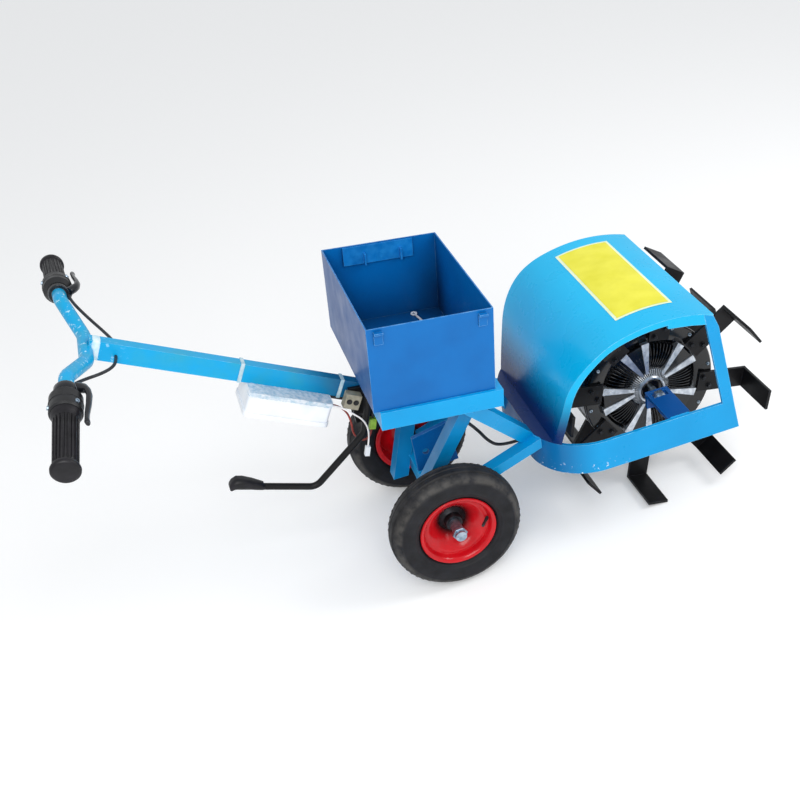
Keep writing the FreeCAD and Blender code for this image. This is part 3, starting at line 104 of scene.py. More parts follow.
for name, stand, target, width, power in (
        ("soft_box_near", (-0.5, -1.9, 1.9), (0.0, 0.0, 0.25), 1.5, 34.0),
        ("soft_box_ahead", (1.9, -0.6, 1.7), (0.2, 0.0, 0.3), 1.0, 18.0)):
    lamp = bpy.data.lights.new(name, "AREA")
    lamp.shape = "SQUARE"
    lamp.size = width
    lamp.energy = power
    holder = bpy.data.objects.new(name, lamp)
    aim = (Vector(target) - Vector(stand)).to_track_quat("-Z", "Y").to_matrix().to_4x4()
    holder.matrix_world = Matrix.Translation(stand) @ aim
    bpy.context.scene.collection.objects.link(holder)

floor_reach = 6.0
floor_level = -0.0008
floor_mesh = bpy.data.meshes.new("floor")
floor_mesh.from_pydata([(x * floor_reach, y * floor_reach, floor_level)
                        for x, y in ((-1, -1), (1, -1), (1, 1), (-1, 1))], [], [(0, 1, 2, 3)])
floor = bpy.data.objects.new("floor", floor_mesh)
bpy.context.scene.collection.objects.link(floor)
# Painted board: matt, and lifted a little where it is looked at directly, so that it stays pale.
board = bpy.data.materials.new("painted_board")
board.use_nodes = True
board_shader = board.node_tree.nodes["Principled BSDF"]
board_shader.inputs["Base Color"].default_value = linear("#f4f4f4")
board_shader.inputs["Roughness"].default_value = 0.9
board_shader.inputs["Emission Color"].default_value = linear("#ffffff")
sight = add(board.node_tree, "ShaderNodeLightPath")
lift = add(board.node_tree, "ShaderNodeMath", {"operation": "MULTIPLY", 1: 0.12},
           {0: sight.outputs["Is Camera Ray"]})
board.node_tree.links.new(lift.outputs[0], board_shader.inputs["Emission Strength"])
floor_mesh.materials.append(board)


# ---------------------------------------------------------------- cables and wires
# Round flexible leads in PVC or rubber sheaths: a control cable from each brake lever to the pole,
# the motor cable under the frame, three thin wires at the controller, and a lead left in the box.
def surface(name):
    """A new material, its tree and shader, and the position on the object."""
    material = bpy.data.materials.new(name)
    material.use_nodes = True
    tree = material.node_tree
    where = add(tree, "ShaderNodeTexCoord").outputs["Object"]
    return material, tree, tree.nodes["Principled BSDF"], where


def cloudy(tree, where, period, detail, low, high, least=0.0, most=1.0):
    """A share in cloudy patches of about this size in millimetres."""
    cloud = add(tree, "ShaderNodeTexNoise", {"Scale": 1000 / period, "Detail": detail},
                {"Vector": where})
    return add(tree, "ShaderNodeMapRange", {"From Min": low, "From Max": high, "To Min": least,
                                            "To Max": most}, {"Value": cloud.outputs[0]}).outputs[0]


def blended(tree, first, second, *shares):
    """The first colour, turned to the second where all of these shares meet."""
    share = shares[0]
    for other in shares[1:]:
        share = add(tree, "ShaderNodeMath", {"operation": "MULTIPLY"},
                    {0: share, 1: other}).outputs[0]
    blend = add(tree, "ShaderNodeMix", {"data_type": "RGBA"}, {0: share})
    for socket, value in ((6, first), (7, second)):
        if isinstance(value, str):
            blend.inputs[socket].default_value = linear(value)
        else:
            tree.links.new(value, blend.inputs[socket])
    return blend.outputs[2]


def patchy(tree, where, first, second, period, low=0.35, high=0.65):
    """Two colours in cloudy patches of about this size in millimetres."""
    return blended(tree, first, second, cloudy(tree, where, period, 3.0, low, high))


def roughened(tree, shader, where, rough, period, bump, grain):
    """Roughness in patches, and a fine grain that stands this many millimetres high."""
    tree.links.new(cloudy(tree, where, period, 4.0, 0.3, 0.7, *rough), shader.inputs["Roughness"])
    fine = add(tree, "ShaderNodeTexNoise", {"Scale": 1000 / grain, "Detail": 2.0},
               {"Vector": where})
    relief = add(tree, "ShaderNodeBump", {"Strength": 0.6, "Distance": bump / 1000},
                 {"Height": fine.outputs[0]})
    tree.links.new(relief.outputs[0], shader.inputs["Normal"])


def uncoated(name, first, second, patch, rough, period, bump, grain, settings=None):
    """A part left in its own colour: two close shades in patches, its roughness and its grain."""
    material, tree, shader, where = surface(name)
    tree.links.new(patchy(tree, where, first, second, patch), shader.inputs["Base Color"])
    roughened(tree, shader, where, rough, period, bump, grain)
    for socket, value in (settings or {}).items():
        shader.inputs[socket].default_value = value
    return material


# PVC insulation, extruded: soft shine, faint dust and slight ripples.
sheath_grain = (14.0, (0.38, 0.6), 6.0, 0.05, 1.5)
black_sheath = uncoated("black_pvc_sheath", "#141518", "#2c2d31", *sheath_grain)
red_sheath = uncoated("red_pvc_insulation", "#7c2a24", "#a33c30", *sheath_grain)
white_sheath = uncoated("white_pvc_insulation", "#d9d6d6", "#f0eceb", *sheath_grain)

ROUTES = {
    "left_cable": [(-0.5405, 0.1588, 0.5792), (-0.5380, 0.1291, 0.5827), (-0.5189, 0.0880, 0.5660),
                   (-0.4969, 0.0520, 0.5460), (-0.4882, 0.0300, 0.5391),
                   (-0.4882, 0.0101, 0.5391)],
    "right_cable": [(-0.5541, -0.1562, 0.5686), (-0.5511, -0.1270, 0.5688),
                    (-0.5409, -0.0906, 0.5535), (-0.5069, -0.0600, 0.5400),
                    (-0.4901, -0.0340, 0.5356), (-0.4901, -0.0101, 0.5356)],
    "motor_cable": [(-0.1896, 0.0000, 0.3508), (-0.1510, 0.0000, 0.3299),
                    (-0.1109, -0.0020, 0.3100), (-0.0669, -0.0100, 0.3000),
                    (-0.0209, -0.0260, 0.2880), (0.0191, -0.0420, 0.2620),
                    (0.0491, -0.0480, 0.2240), (0.0671, -0.0440, 0.1880),
                    (0.0911, -0.0340, 0.1620), (0.1251, -0.0340, 0.1620)],
    "red_wire": [(-0.1901, -0.0280, 0.3499), (-0.1783, -0.0280, 0.3435),
                 (-0.1659, -0.0250, 0.3220), (-0.1639, -0.0240, 0.2980),
                 (-0.1659, -0.0240, 0.2760), (-0.1549, -0.0250, 0.2580),
                 (-0.1369, -0.0260, 0.2620), (-0.1319, -0.0260, 0.2795)],
    "battery_lead": [(-0.1265, -0.0260, 0.2987), (-0.1212, -0.0260, 0.3176),
                     (-0.1219, -0.0280, 0.3400), (-0.1195, -0.0260, 0.3623),
                     (-0.1168, -0.0260, 0.3860)],
    "white_wire": [(-0.1891, -0.0360, 0.3517), (-0.1768, -0.0360, 0.3450),
                   (-0.1609, -0.0490, 0.3340), (-0.1459, -0.0520, 0.3180),
                   (-0.1409, -0.0520, 0.2960), (-0.1449, -0.0520, 0.2740),
                   (-0.1489, -0.0520, 0.2620)],
    "box_lead": [(0.0637, -0.0100, 0.3739), (0.0470, -0.0090, 0.3758), (0.0311, 0.0040, 0.3776),
                 (0.0232, 0.0280, 0.3785), (0.0202, 0.0540, 0.3788), (0.0222, 0.0800, 0.3786),
                 (0.0202, 0.1060, 0.3788), (0.0143, 0.1360, 0.3795)],
}


def lead(node, width, finish):
    """One cord along its route, of this width in metres."""
    line = bpy.data.curves.new(node + "_line", "CURVE")
    line.dimensions = "3D"
    spline = line.splines.new("NURBS")
    points = ROUTES[node]
    spline.points.add(len(points) - 1)
    for point, spot in zip(spline.points, points):
        point.co = (*spot, 1.0)
    spline.order_u = 3
    spline.use_endpoint_u = True
    line.resolution_u = 12
    line.bevel_depth = width / 2
    line.bevel_resolution = 5
    line.use_fill_caps = True
    line.materials.append(finish)
    cord = bpy.data.objects.new(node + "_line", line)
    bpy.context.scene.collection.objects.link(cord)
    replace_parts(cord, node)
    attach(cord, "frame")


lead("left_cable", 0.005, black_sheath)
lead("right_cable", 0.005, black_sheath)
lead("motor_cable", 0.006, black_sheath)
lead("red_wire", 0.0035, red_sheath)
lead("battery_lead", 0.0035, black_sheath)
lead("white_wire", 0.003, white_sheath)
lead("box_lead", 0.004, white_sheath)


# ---------------------------------------------------------------- welded frame
# Square tube, angle iron and flat bar, arc welded, then sprayed sky-blue enamel and baked. The coat
# is glossy with a faint orange peel and paler where it runs thin over the edges, which also serves
# as a painted highlight; on the legs it is darker, as painted shade.
def paint(finish, *names):
    """Gives carried-over nodes their finish."""
    for name in names:
        held = nodes[name]
        for held_slot in held.material_slots:
            held_slot.material = finish
        if not held.material_slots:
            held.data.materials.append(finish)


def enamel(name, coat, deep, edge, period=120.0, rough=(0.26, 0.42), shine=0.1, edge_share=0.5):
    """Baked enamel on steel. The edge colour shows where the coat is thin, broken up by chips, and
    on the blue coats it is also a painted highlight along rounded edges.
    """
    material, tree, shader, where = surface(name)
    colour = patchy(tree, where, deep, coat, period, 0.25, 0.6)
    round_edge = add(tree, "ShaderNodeBevel", {"samples": 6, "Radius": 0.0014})
    flat = add(tree, "ShaderNodeNewGeometry")
    match = add(tree, "ShaderNodeVectorMath", {"operation": "DOT_PRODUCT"},
                {0: round_edge.outputs[0], 1: flat.outputs["Normal"]})
    near_edge = add(tree, "ShaderNodeMapRange",
                    {"From Min": 0.985, "From Max": 0.86, "To Max": edge_share},
                    {"Value": match.outputs["Value"]})
    chips = cloudy(tree, where, 9.0, 4.0, 0.3, 0.62)
    worn_and_highlit = blended(tree, colour, edge, near_edge.outputs[0], chips)
    tree.links.new(worn_and_highlit, shader.inputs["Base Color"])
    shader.inputs["Specular IOR Level"].default_value = 0.22
    shader.inputs["Coat Weight"].default_value = shine
    shader.inputs["Coat Roughness"].default_value = 0.12
    roughened(tree, shader, where, rough, 40.0, 0.03, 2.5)
    return material, tree, shader, where, worn_and_highlit


sky_enamel = enamel("sky_blue_enamel", "#009bd8", "#008fcc", "#7fd2f8")[0]
paint(sky_enamel, "box_frame", "axle_beam", "side_braces", "front_stays")
# The legs' coat is darker as painted shade, for the shade they stand in under the box.
paint(enamel("shaded_blue_enamel", "#0080bb", "#006a9f", "#5fb4dc", period=70.0)[0], "rear_legs")


# ---------------------------------------------------------------- battery box
# A box folded from sheet steel and welded at its corners, in a darker blue enamel. Its rear wall
# is greyed in cloudy patches, painted shade darkens its recesses and far inside corner, and its
# hinge plate is rubbed.
def faded(tree, vector, axis, start, end, most=1.0, way="SMOOTHSTEP"):
    """A share that grows from none to its most between two stations along an axis."""
    along = add(tree, "ShaderNodeSeparateXYZ", None, {0: vector}).outputs[axis]
    return add(tree, "ShaderNodeMapRange", {"From Min": start, "From Max": end, "To Max": most,
                                            "interpolation_type": way}, {"Value": along}).outputs[0]


box_enamel, tree, shader, where, painted = enamel(
    "medium_blue_enamel", "#0068b2", "#005da4", "#7db9e6", period=90.0, rough=(0.32, 0.46),
    shine=0.08, edge_share=0.9)
facing = add(tree, "ShaderNodeNewGeometry").outputs["Normal"]
# The rear wall is greyed in cloudy patches on its rear-facing side.
rear_grey = patchy(tree, where, "#1f4c88", "#4d6290", 30.0)
rear_greyed = blended(tree, painted, rear_grey, faded(tree, facing, "X", -0.5, -0.9, 0.75, "LINEAR"),
                faded(tree, where, "X", -0.112, -0.118, 1.0, "LINEAR"))
# Painted shade: the coat darkens to navy in recesses, by ambient occlusion, and most in the far
# inside corner.
hollow = add(tree, "ShaderNodeAmbientOcclusion", {"samples": 6, "Distance": 0.15}).outputs["AO"]
depth = add(tree, "ShaderNodeMapRange", {"From Min": 0.6, "From Max": 0.22, "To Max": 0.95},
            {"Value": hollow})
corner_shade = add(tree, "ShaderNodeMapRange", {"From Min": 0.95, "From Max": 0.7},
                  {"Value": hollow}).outputs[0]
for axis, start, end, most in (("X", -0.01, 0.075, 1.0), ("Y", 0.09, 0.145, 0.8),
                               ("Z", 0.52, 0.40, 1.0)):
    corner_shade = add(tree, "ShaderNodeMath", {"operation": "MULTIPLY"},
                      {0: corner_shade, 1: faded(tree, where, axis, start, end, most)}).outputs[0]
painted_shade = add(tree, "ShaderNodeMath", {"operation": "MAXIMUM"},
              {0: depth.outputs[0], 1: corner_shade})
tree.links.new(blended(tree, rear_greyed, "#030b30", painted_shade.outputs[0]), shader.inputs["Base Color"])
paint(box_enamel, "battery_box", "box_hooks", "centre_gusset")
# The hinge plate's coat is rubbed into paler streaks.
rubbed_enamel, tree, shader, where, painted = enamel(
    "rubbed_blue_enamel", "#0a78c6", "#0a66ae", "#7db9e6", period=24.0)
rubbed = add(tree, "ShaderNodeMix", {"data_type": "RGBA", 0: 0.5},
             {6: painted, 7: patchy(tree, where, "#2a8fd6", "#0a6cb6", 14.0)})
tree.links.new(rubbed.outputs[2], shader.inputs["Base Color"])
paint(rubbed_enamel, "hinge_plate")

# ---------------------------------------------------------------- guard ring
# Flat bar bent on edge to a U round the rotor, with two leaning posts. Stones have scuffed its
# lower rear corners down to pale primer; painted shade darkens its rear where it meets the hood.
ring_enamel, tree, shader, where, painted = enamel(
    "ring_enamel", "#0098d6", "#008eca", "#a5e4fb", edge_share=0.85)
# Painted shade: the bar turns navy towards its rear, running on from the shade on the hood.
shaded_rear = blended(tree, painted, "#064788", faded(tree, where, "X", 0.24, 0.15, 0.65))
scuffed = blended(tree, shaded_rear, "#e6f2f7", faded(tree, where, "Z", 0.172, 0.158, 1.0, "LINEAR"),
                  faded(tree, where, "X", 0.29, 0.24, 1.0, "LINEAR"),
                  cloudy(tree, where, 8.0, 5.0, 0.62, 0.66))
tree.links.new(scuffed, shader.inputs["Base Color"])
paint(ring_enamel, "guard_ring")

# ---------------------------------------------------------------- hood
# One rolled sheet over the rotor, welded to the ring. Its low rear part is painted navy as painted
# shade, with a grey-green painted reflection above.
hood_enamel, tree, shader, where, painted = enamel(
    "hood_enamel", "#00b6e8", "#00acde", "#9fe0fa", period=160.0, rough=(0.24, 0.34), shine=0.15,
    edge_share=0.8)
# Painted shade: navy towards the low rear. Painted reflection: a grey-green band above it.
shaded_low_rear = blended(tree, painted, "#022a64", faded(tree, where, "Z", 0.325, 0.225),
                   faded(tree, where, "X", 0.36, 0.20))
painted_reflection = blended(tree, shaded_low_rear, "#4c8590", faded(tree, where, "Z", 0.26, 0.31),
                faded(tree, where, "Z", 0.372, 0.33), faded(tree, where, "X", 0.185, 0.15, 0.6))
tree.links.new(painted_reflection, shader.inputs["Base Color"])
paint(hood_enamel, "hood")


def link(name, mesh, finish, body, crease=35.0, place=None):
    """A finished mesh as a piece that rides on a body, creased where it bends more than this."""
    if place is not None:
        mesh.transform(place)
    shape = bmesh.new()
    shape.from_mesh(mesh)
    for face in shape.faces:
        face.smooth = True
    for edge in shape.edges:
        bend = edge.calc_face_angle(0.0) if len(edge.link_faces) == 2 else 0.0
        edge.smooth = bend < math.radians(crease)
    shape.to_mesh(mesh)
    shape.free()
    mesh.materials.clear()
    mesh.materials.append(finish)
    piece = bpy.data.objects.new(name, mesh)
    bpy.context.scene.collection.objects.link(piece)
    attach(piece, body)
    return piece


def lofted(name, rows, around=True, ends=False, loop=False, outward=True):
    """A skin over rows of points. A row of one point is a pole, and a loop comes back round."""
    shape = bmesh.new()
    rows = [[shape.verts.new(point) for point in row] for row in rows]
    if loop:
        rows.append(rows[0])
    for first, second in zip(rows, rows[1:]):
        count = max(len(first), len(second))
        for step in range(count if around else count - 1):
            after = (step + 1) % count
            corners = (first[step % len(first)], first[after % len(first)],
                       second[after % len(second)], second[step % len(second)])
            shape.faces.new(tuple(dict.fromkeys(corners)))
    if ends:
        shape.faces.new(rows[0])
        shape.faces.new(rows[-1][::-1])
    if outward:
        bmesh.ops.recalc_face_normals(shape, faces=shape.faces)
    mesh = bpy.data.meshes.new(name)
    shape.to_mesh(mesh)
    shape.free()
    return mesh


# A blank yellow vinyl label is stuck across the crown, with a pale border left by its cutting.
# Printed vinyl film has an even colour, low shine and faint bubbles.
hood_shape = nodes["hood"].data
hood_tree = BVHTree.FromPolygons([vertex.co.copy() for vertex in hood_shape.vertices],
                                 [tuple(polygon.vertices) for polygon in hood_shape.polygons])
vinyl_grain = (45.0, (0.35, 0.5), 25.0, 0.06, 18.0)
columns, rows = 30, 60
above_hood = 0.6
for name, (x_low, x_high), (y_low, y_high), height, finish in (
        ("label_border", (0.299, 0.405), (-0.125, 0.148), 0.0005,
         uncoated("pale_vinyl_border", "#dcecc2", "#e6f0cf", *vinyl_grain)),
        ("label_face", (0.304, 0.400), (-0.120, 0.143), 0.0009,
         uncoated("yellow_vinyl", "#ddd72c", "#e7e140", *vinyl_grain))):
    grid = []
    for row in range(rows + 1):
        y = y_low + (y_high - y_low) * row / rows
        line = []
        for column in range(columns + 1):
            x = x_low + (x_high - x_low) * column / columns
            hit = hood_tree.ray_cast(Vector((x, y, above_hood)), Vector((0, 0, -1)))[0]
            line.append(hit + Vector((0, 0, height)))
        grid.append(line)
    link(name, lofted(name, grid, around=False, outward=False), finish, "frame")


# ---------------------------------------------------------------- weld seams
# Arc welds left as they were laid: a row of overlapping beads along each joint, painted over with
# the frame. Each bead is a flattened drop, a little larger or smaller than the next.
def tree_inputs(tree, wanted):
    """Named inputs for a geometry tree, and its output."""
    tree.interface.new_socket(name="Geometry", in_out="INPUT", socket_type="NodeSocketGeometry")
    for title, kind in wanted:
        tree.interface.new_socket(name=title, in_out="INPUT", socket_type=kind)
    tree.interface.new_socket(name="Geometry", in_out="OUTPUT", socket_type="NodeSocketGeometry")
    return add(tree, "NodeGroupInput").outputs, add(tree, "NodeGroupOutput")


def made_real(tree, instances, finish, result):
    """The tree's ending: its instances as real mesh, in their finish."""
    real = add(tree, "GeometryNodeRealizeInstances", None, {0: instances})
    coated = add(tree, "GeometryNodeSetMaterial", None,
                 {"Geometry": real.outputs[0], "Material": finish})
    tree.links.new(coated.outputs[0], result.inputs[0])


def grown(name, mesh, tree, values):
    """The plain mesh that a tree makes of this one, with these values for its named inputs."""
    holder = bpy.data.objects.new(name, mesh)
    bpy.context.scene.collection.objects.link(holder)
    change = holder.modifiers.new(name, "NODES")
    change.node_group = tree
    for item in tree.interface.items_tree:
        if item.in_out == "INPUT" and item.name in values:
            change[item.identifier] = values[item.name]
    done = holder.evaluated_get(bpy.context.evaluated_depsgraph_get())
    plain = bpy.data.meshes.new_from_object(done)
    holder.modifiers.clear()
    bpy.data.objects.remove(holder)
    return plain


seam_tree = bpy.data.node_groups.new("weld_beads", "GeometryNodeTree")
given, result = tree_inputs(seam_tree, [
    ("Bead spacing", "NodeSocketFloat"), ("Bead radius", "NodeSocketFloat"),
    ("Seed", "NodeSocketInt"), ("Finish", "NodeSocketMaterial")])
run = add(seam_tree, "GeometryNodeMeshToCurve", None, {"Mesh": given["Geometry"]})
spaced = add(seam_tree, "GeometryNodeResampleCurve", {"mode": "LENGTH"},
             {"Curve": run.outputs[0], "Length": given["Bead spacing"]})
bead = add(seam_tree, "GeometryNodeMeshIcoSphere", {"Subdivisions": 2},
           {"Radius": given["Bead radius"]})
sizes = add(seam_tree, "FunctionNodeRandomValue",
            {"data_type": "FLOAT_VECTOR", 0: (0.8, 0.8, 0.6), 1: (1.2, 1.2, 0.9)},
            {"Seed": given["Seed"]})
laid = add(seam_tree, "GeometryNodeInstanceOnPoints", None,
           {"Points": spaced.outputs[0], "Instance": bead.outputs[0], "Scale": sizes.outputs[0]})
made_real(seam_tree, laid.outputs[0], given["Finish"], result)

beam_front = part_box("axle_beam")[1][0] + 0.0005
post_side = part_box("guard_ring")[0][1] + 0.006
right_seams = [
    [(beam_front, -0.114, 0.138), (beam_front, -0.088, 0.138)],
    [(-0.0649, -0.082, 0.1395), (-0.0649, -0.052, 0.1395)],
    [(0.1366, -0.0885, 0.2082), (0.1388, -0.0967, 0.2088), (0.1404, -0.1025, 0.2094),
     (0.1434, -0.1107, 0.2103)],
    [(0.405, post_side, 0.2105), (0.373, post_side, 0.2105)],
]
left_seams = [[(x, -y, z) for x, y, z in line] for line in right_seams]
gusset_seam = [(-0.062, -0.0045, 0.14), (-0.006, -0.0045, 0.14)]
points, edges = [], []
for line in right_seams + left_seams + [gusset_seam]:
    edges += [(index, index + 1) for index in range(len(points), len(points) + len(line) - 1)]
    points += line
seam_paths = bpy.data.meshes.new("frame_welds")
seam_paths.from_pydata(points, edges, [])
beads = grown("frame_welds", seam_paths, seam_tree,
              {"Bead spacing": 0.0032, "Bead radius": 0.0021, "Seed": 7, "Finish": sky_enamel})
link("frame_welds", beads, sky_enamel, "frame", 60.0)


# ---------------------------------------------------------------- wheels
# Barrow wheels: a pressed steel rim in red enamel, dished in to a deep hub, on a pneumatic tyre.
# The moulded rubber is dark grey, dusty where the tread rounds into the wall.
def turned(name, profile, steps=96, loop=False):
    """A shape turned about Z from (radius, height) pairs in metres, with poles at radius 0."""
    rows = []
    for radius, height in profile:
        angles = [2 * math.pi * step / steps for step in range(steps if radius else 1)]
        rows.append([(radius * math.cos(angle), radius * math.sin(angle), height)
                     for angle in angles])
    return lofted(name, rows, loop=loop)


def block(name, corners):
    """A closed block from its 8 corners: four round one end, then four round the other."""
    return lofted(name, [corners[:4], corners[4:]], ends=True)


def flipped(mesh, axis):
    """The mesh's mirror image across the plane that this axis stands on."""
    image = mesh.copy()
    image.transform(Matrix.Scale(-1, 4, axis))
    image.flip_normals()
    return image


def joined(name, meshes):
    """Several meshes as one."""
    shape = bmesh.new()
    for mesh in meshes:
        shape.from_mesh(mesh)
    whole = bpy.data.meshes.new(name)
    shape.to_mesh(whole)
    shape.free()
    return whole


copy_tree = bpy.data.node_groups.new("copies_about_axis", "GeometryNodeTree")
given, result = tree_inputs(copy_tree, [
    ("Copies", "NodeSocketInt"), ("First turn", "NodeSocketFloat"),
    ("Finish", "NodeSocketMaterial")])
dots = add(copy_tree, "GeometryNodePoints", None, {"Count": given["Copies"]})
number = add(copy_tree, "GeometryNodeInputIndex")
share = add(copy_tree, "ShaderNodeMath", {"operation": "DIVIDE"},
            {0: number.outputs[0], 1: given["Copies"]})
angle = add(copy_tree, "ShaderNodeMath", {"operation": "MULTIPLY_ADD", 1: 2 * math.pi},
            {0: share.outputs[0], 2: given["First turn"]})
turn = add(copy_tree, "ShaderNodeCombineXYZ", None, {"Z": angle.outputs[0]})
rotation = add(copy_tree, "FunctionNodeEulerToRotation", None, {0: turn.outputs[0]})
placed = add(copy_tree, "GeometryNodeInstanceOnPoints", None,
             {"Points": dots.outputs[0], "Instance": given["Geometry"],
              "Rotation": rotation.outputs[0]})
made_real(copy_tree, placed.outputs[0], given["Finish"], result)


def copies(name, mesh, number, finish, place, body, first=0.0, crease=35.0):
    """The mesh repeated evenly about Z, then put in place."""
    plain = grown(name, mesh, copy_tree, {"Copies": number, "First turn": first, "Finish": finish})
    link(name, plain, finish, body, crease, place)


tyre_low, tyre_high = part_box("left_tyre")
axle_x = (tyre_low[0] + tyre_high[0]) / 2
axle_z = (tyre_low[2] + tyre_high[2]) / 2


def from_axle(tree, where):
    """Distance from the wheels' axis."""
    centred = add(tree, "ShaderNodeVectorMath",
                  {"operation": "SUBTRACT", 1: (axle_x, 0.0, axle_z)}, {0: where})
    flattened = add(tree, "ShaderNodeVectorMath", {"operation": "MULTIPLY", 1: (1.0, 0.0, 1.0)},
                    {0: centred.outputs[0]})
    return add(tree, "ShaderNodeVectorMath", {"operation": "LENGTH"},
               {0: flattened.outputs[0]}).outputs["Value"]


# Vulcanised rubber: nearly black and matt, with grey dust rubbed into the shoulder.
tyre_rubber, tree, shader, where = surface("moulded_tyre_rubber")
radius = from_axle(tree, where)
shoulder = add(tree, "ShaderNodeMapRange",
               {"From Min": 0.1015, "From Max": 0.1075, "To Max": 0.55,
                "interpolation_type": "SMOOTHSTEP"}, {"Value": radius})
crown = add(tree, "ShaderNodeMapRange",
            {"From Min": 0.1165, "From Max": 0.1110, "To Min": 0.25}, {"Value": radius})
dusted = blended(tree, patchy(tree, where, "#090a0f", "#14151b", 26.0), "#55524e",
                 shoulder.outputs[0], crown.outputs[0], cloudy(tree, where, 18.0, 5.0, 0.32, 0.6))
tree.links.new(dusted, shader.inputs["Base Color"])
shader.inputs["Specular IOR Level"].default_value = 0.35
roughened(tree, shader, where, (0.5, 0.72), 20.0, 0.12, 1.4)

# Red enamel: the glossiest coat on the machine, darkened to near black towards the hub.
red_enamel, tree, shader, where, painted = enamel(
    "red_enamel", "#c80d1a", "#ad0914", "#e2483f", period=60.0, rough=(0.14, 0.26), shine=0.3,
    edge_share=0.3)
hub_darkening = add(tree, "ShaderNodeMapRange",
             {"From Min": 0.038, "From Max": 0.024, "To Max": 0.95,
              "interpolation_type": "SMOOTHSTEP"}, {"Value": from_axle(tree, where)})
tree.links.new(blended(tree, painted, "#120a0c", hub_darkening.outputs[0]), shader.inputs["Base Color"])
# Oiled steel is dark with a dull shine. Zinc plating is bluish and brighter. The grain of both is
# too fine to show, so it is drawn at 0.9 mm.
dark_steel = uncoated("oiled_steel", "#15161a", "#2a2c31", 8.0, (0.35, 0.55), 6.0, 0.03, 0.9,
                      {"Metallic": 0.6})
bright_steel = uncoated("zinc_plated_steel", "#7f93a6", "#b4c4d2", 9.0, (0.25, 0.4), 6.0, 0.02,
                        0.9, {"Metallic": 0.9})
paint(bright_steel, "wheel_shaft")

# The tyre's section is a squarish oval, open towards the rim, with raised rings on its walls and
# grooves round its tread. Angles are in degrees from the tread's crown.
section_steps, section_reach = 96, 152
squareness = 2.3
bead_radius, bead_depth, bead_half = 0.066, 0.002, 0.018
wall_rings, ring_half, ring_rise, wall_from = (0.0745, 0.0795, 0.1015), 0.0011, 0.0007, 0.015
tread_grooves, groove_half, groove_depth = (-0.0135, 0.0, 0.0135), 0.0017, 0.0026
tread_share = 0.7
lugs_round, lug_stagger = 54, 0.058
# Depth under the tread's crown, then along the tread and across it.
lug_corners = [
    (0.0088, -0.0028, 0.0185), (0.0088, 0.0028, 0.0185), (0.0180, 0.0028, 0.0272),
    (0.0180, -0.0028, 0.0272), (0.0021, -0.0024, 0.0165), (0.0021, 0.0024, 0.0165),
    (0.0132, 0.0024, 0.0284), (0.0132, -0.0024, 0.0284)]
# The turned profiles are (radius, height along the axle) pairs in metres.
dish = [(0.0600, -0.0200), (0.0665, -0.0225), (0.0690, -0.0215), (0.0690, -0.0195),
        (0.0660, -0.0180), (0.0625, -0.0150), (0.0610, -0.0060), (0.0610, 0.0080),
        (0.0625, 0.0155), (0.0655, 0.0190), (0.0690, 0.0205), (0.0697, 0.0225),
        (0.0685, 0.0240), (0.0655, 0.0238), (0.0630, 0.0222), (0.0605, 0.0185),
        (0.0592, 0.0130), (0.0580, 0.0105), (0.0560, 0.0100), (0.0540, 0.0105),
        (0.0500, 0.0085), (0.0430, 0.0030), (0.0360, -0.0045), (0.0300, -0.0120),
        (0.0255, -0.0165), (0.0235, -0.0180)]
dish_inside = [(0.0232, -0.0200), (0.0300, -0.0145), (0.0420, 0.0000), (0.0500, 0.0055),
               (0.0555, 0.0070), (0.0575, 0.0040), (0.0575, -0.0120)]
hub = [(0.0102, -0.0020), (0.0150, -0.0020), (0.0160, -0.0035), (0.0172, -0.0120),
       (0.0240, -0.0175), (0.0240, -0.0205), (0.0185, -0.0215), (0.0185, -0.0345),
       (0.0102, -0.0355)]
nut = [(0.0101, 0.0265), (0.0132, 0.0265), (0.0138, 0.0272), (0.0138, 0.0318),
       (0.0130, 0.0326), (0.0101, 0.0326)]
valve = [(0.0, 0.024), (0.0024, 0.024), (0.0028, 0.022), (0.0028, 0.014), (0.0022, 0.013),
         (0.0026, 0.012), (0.0034, 0.0), (0.0, 0.0)]
valve_place = (Matrix.Translation((0.0572, 0.0, 0.0105))
               @ Matrix.Rotation(math.radians(-38), 4, "Y"))
axle_nuts = []
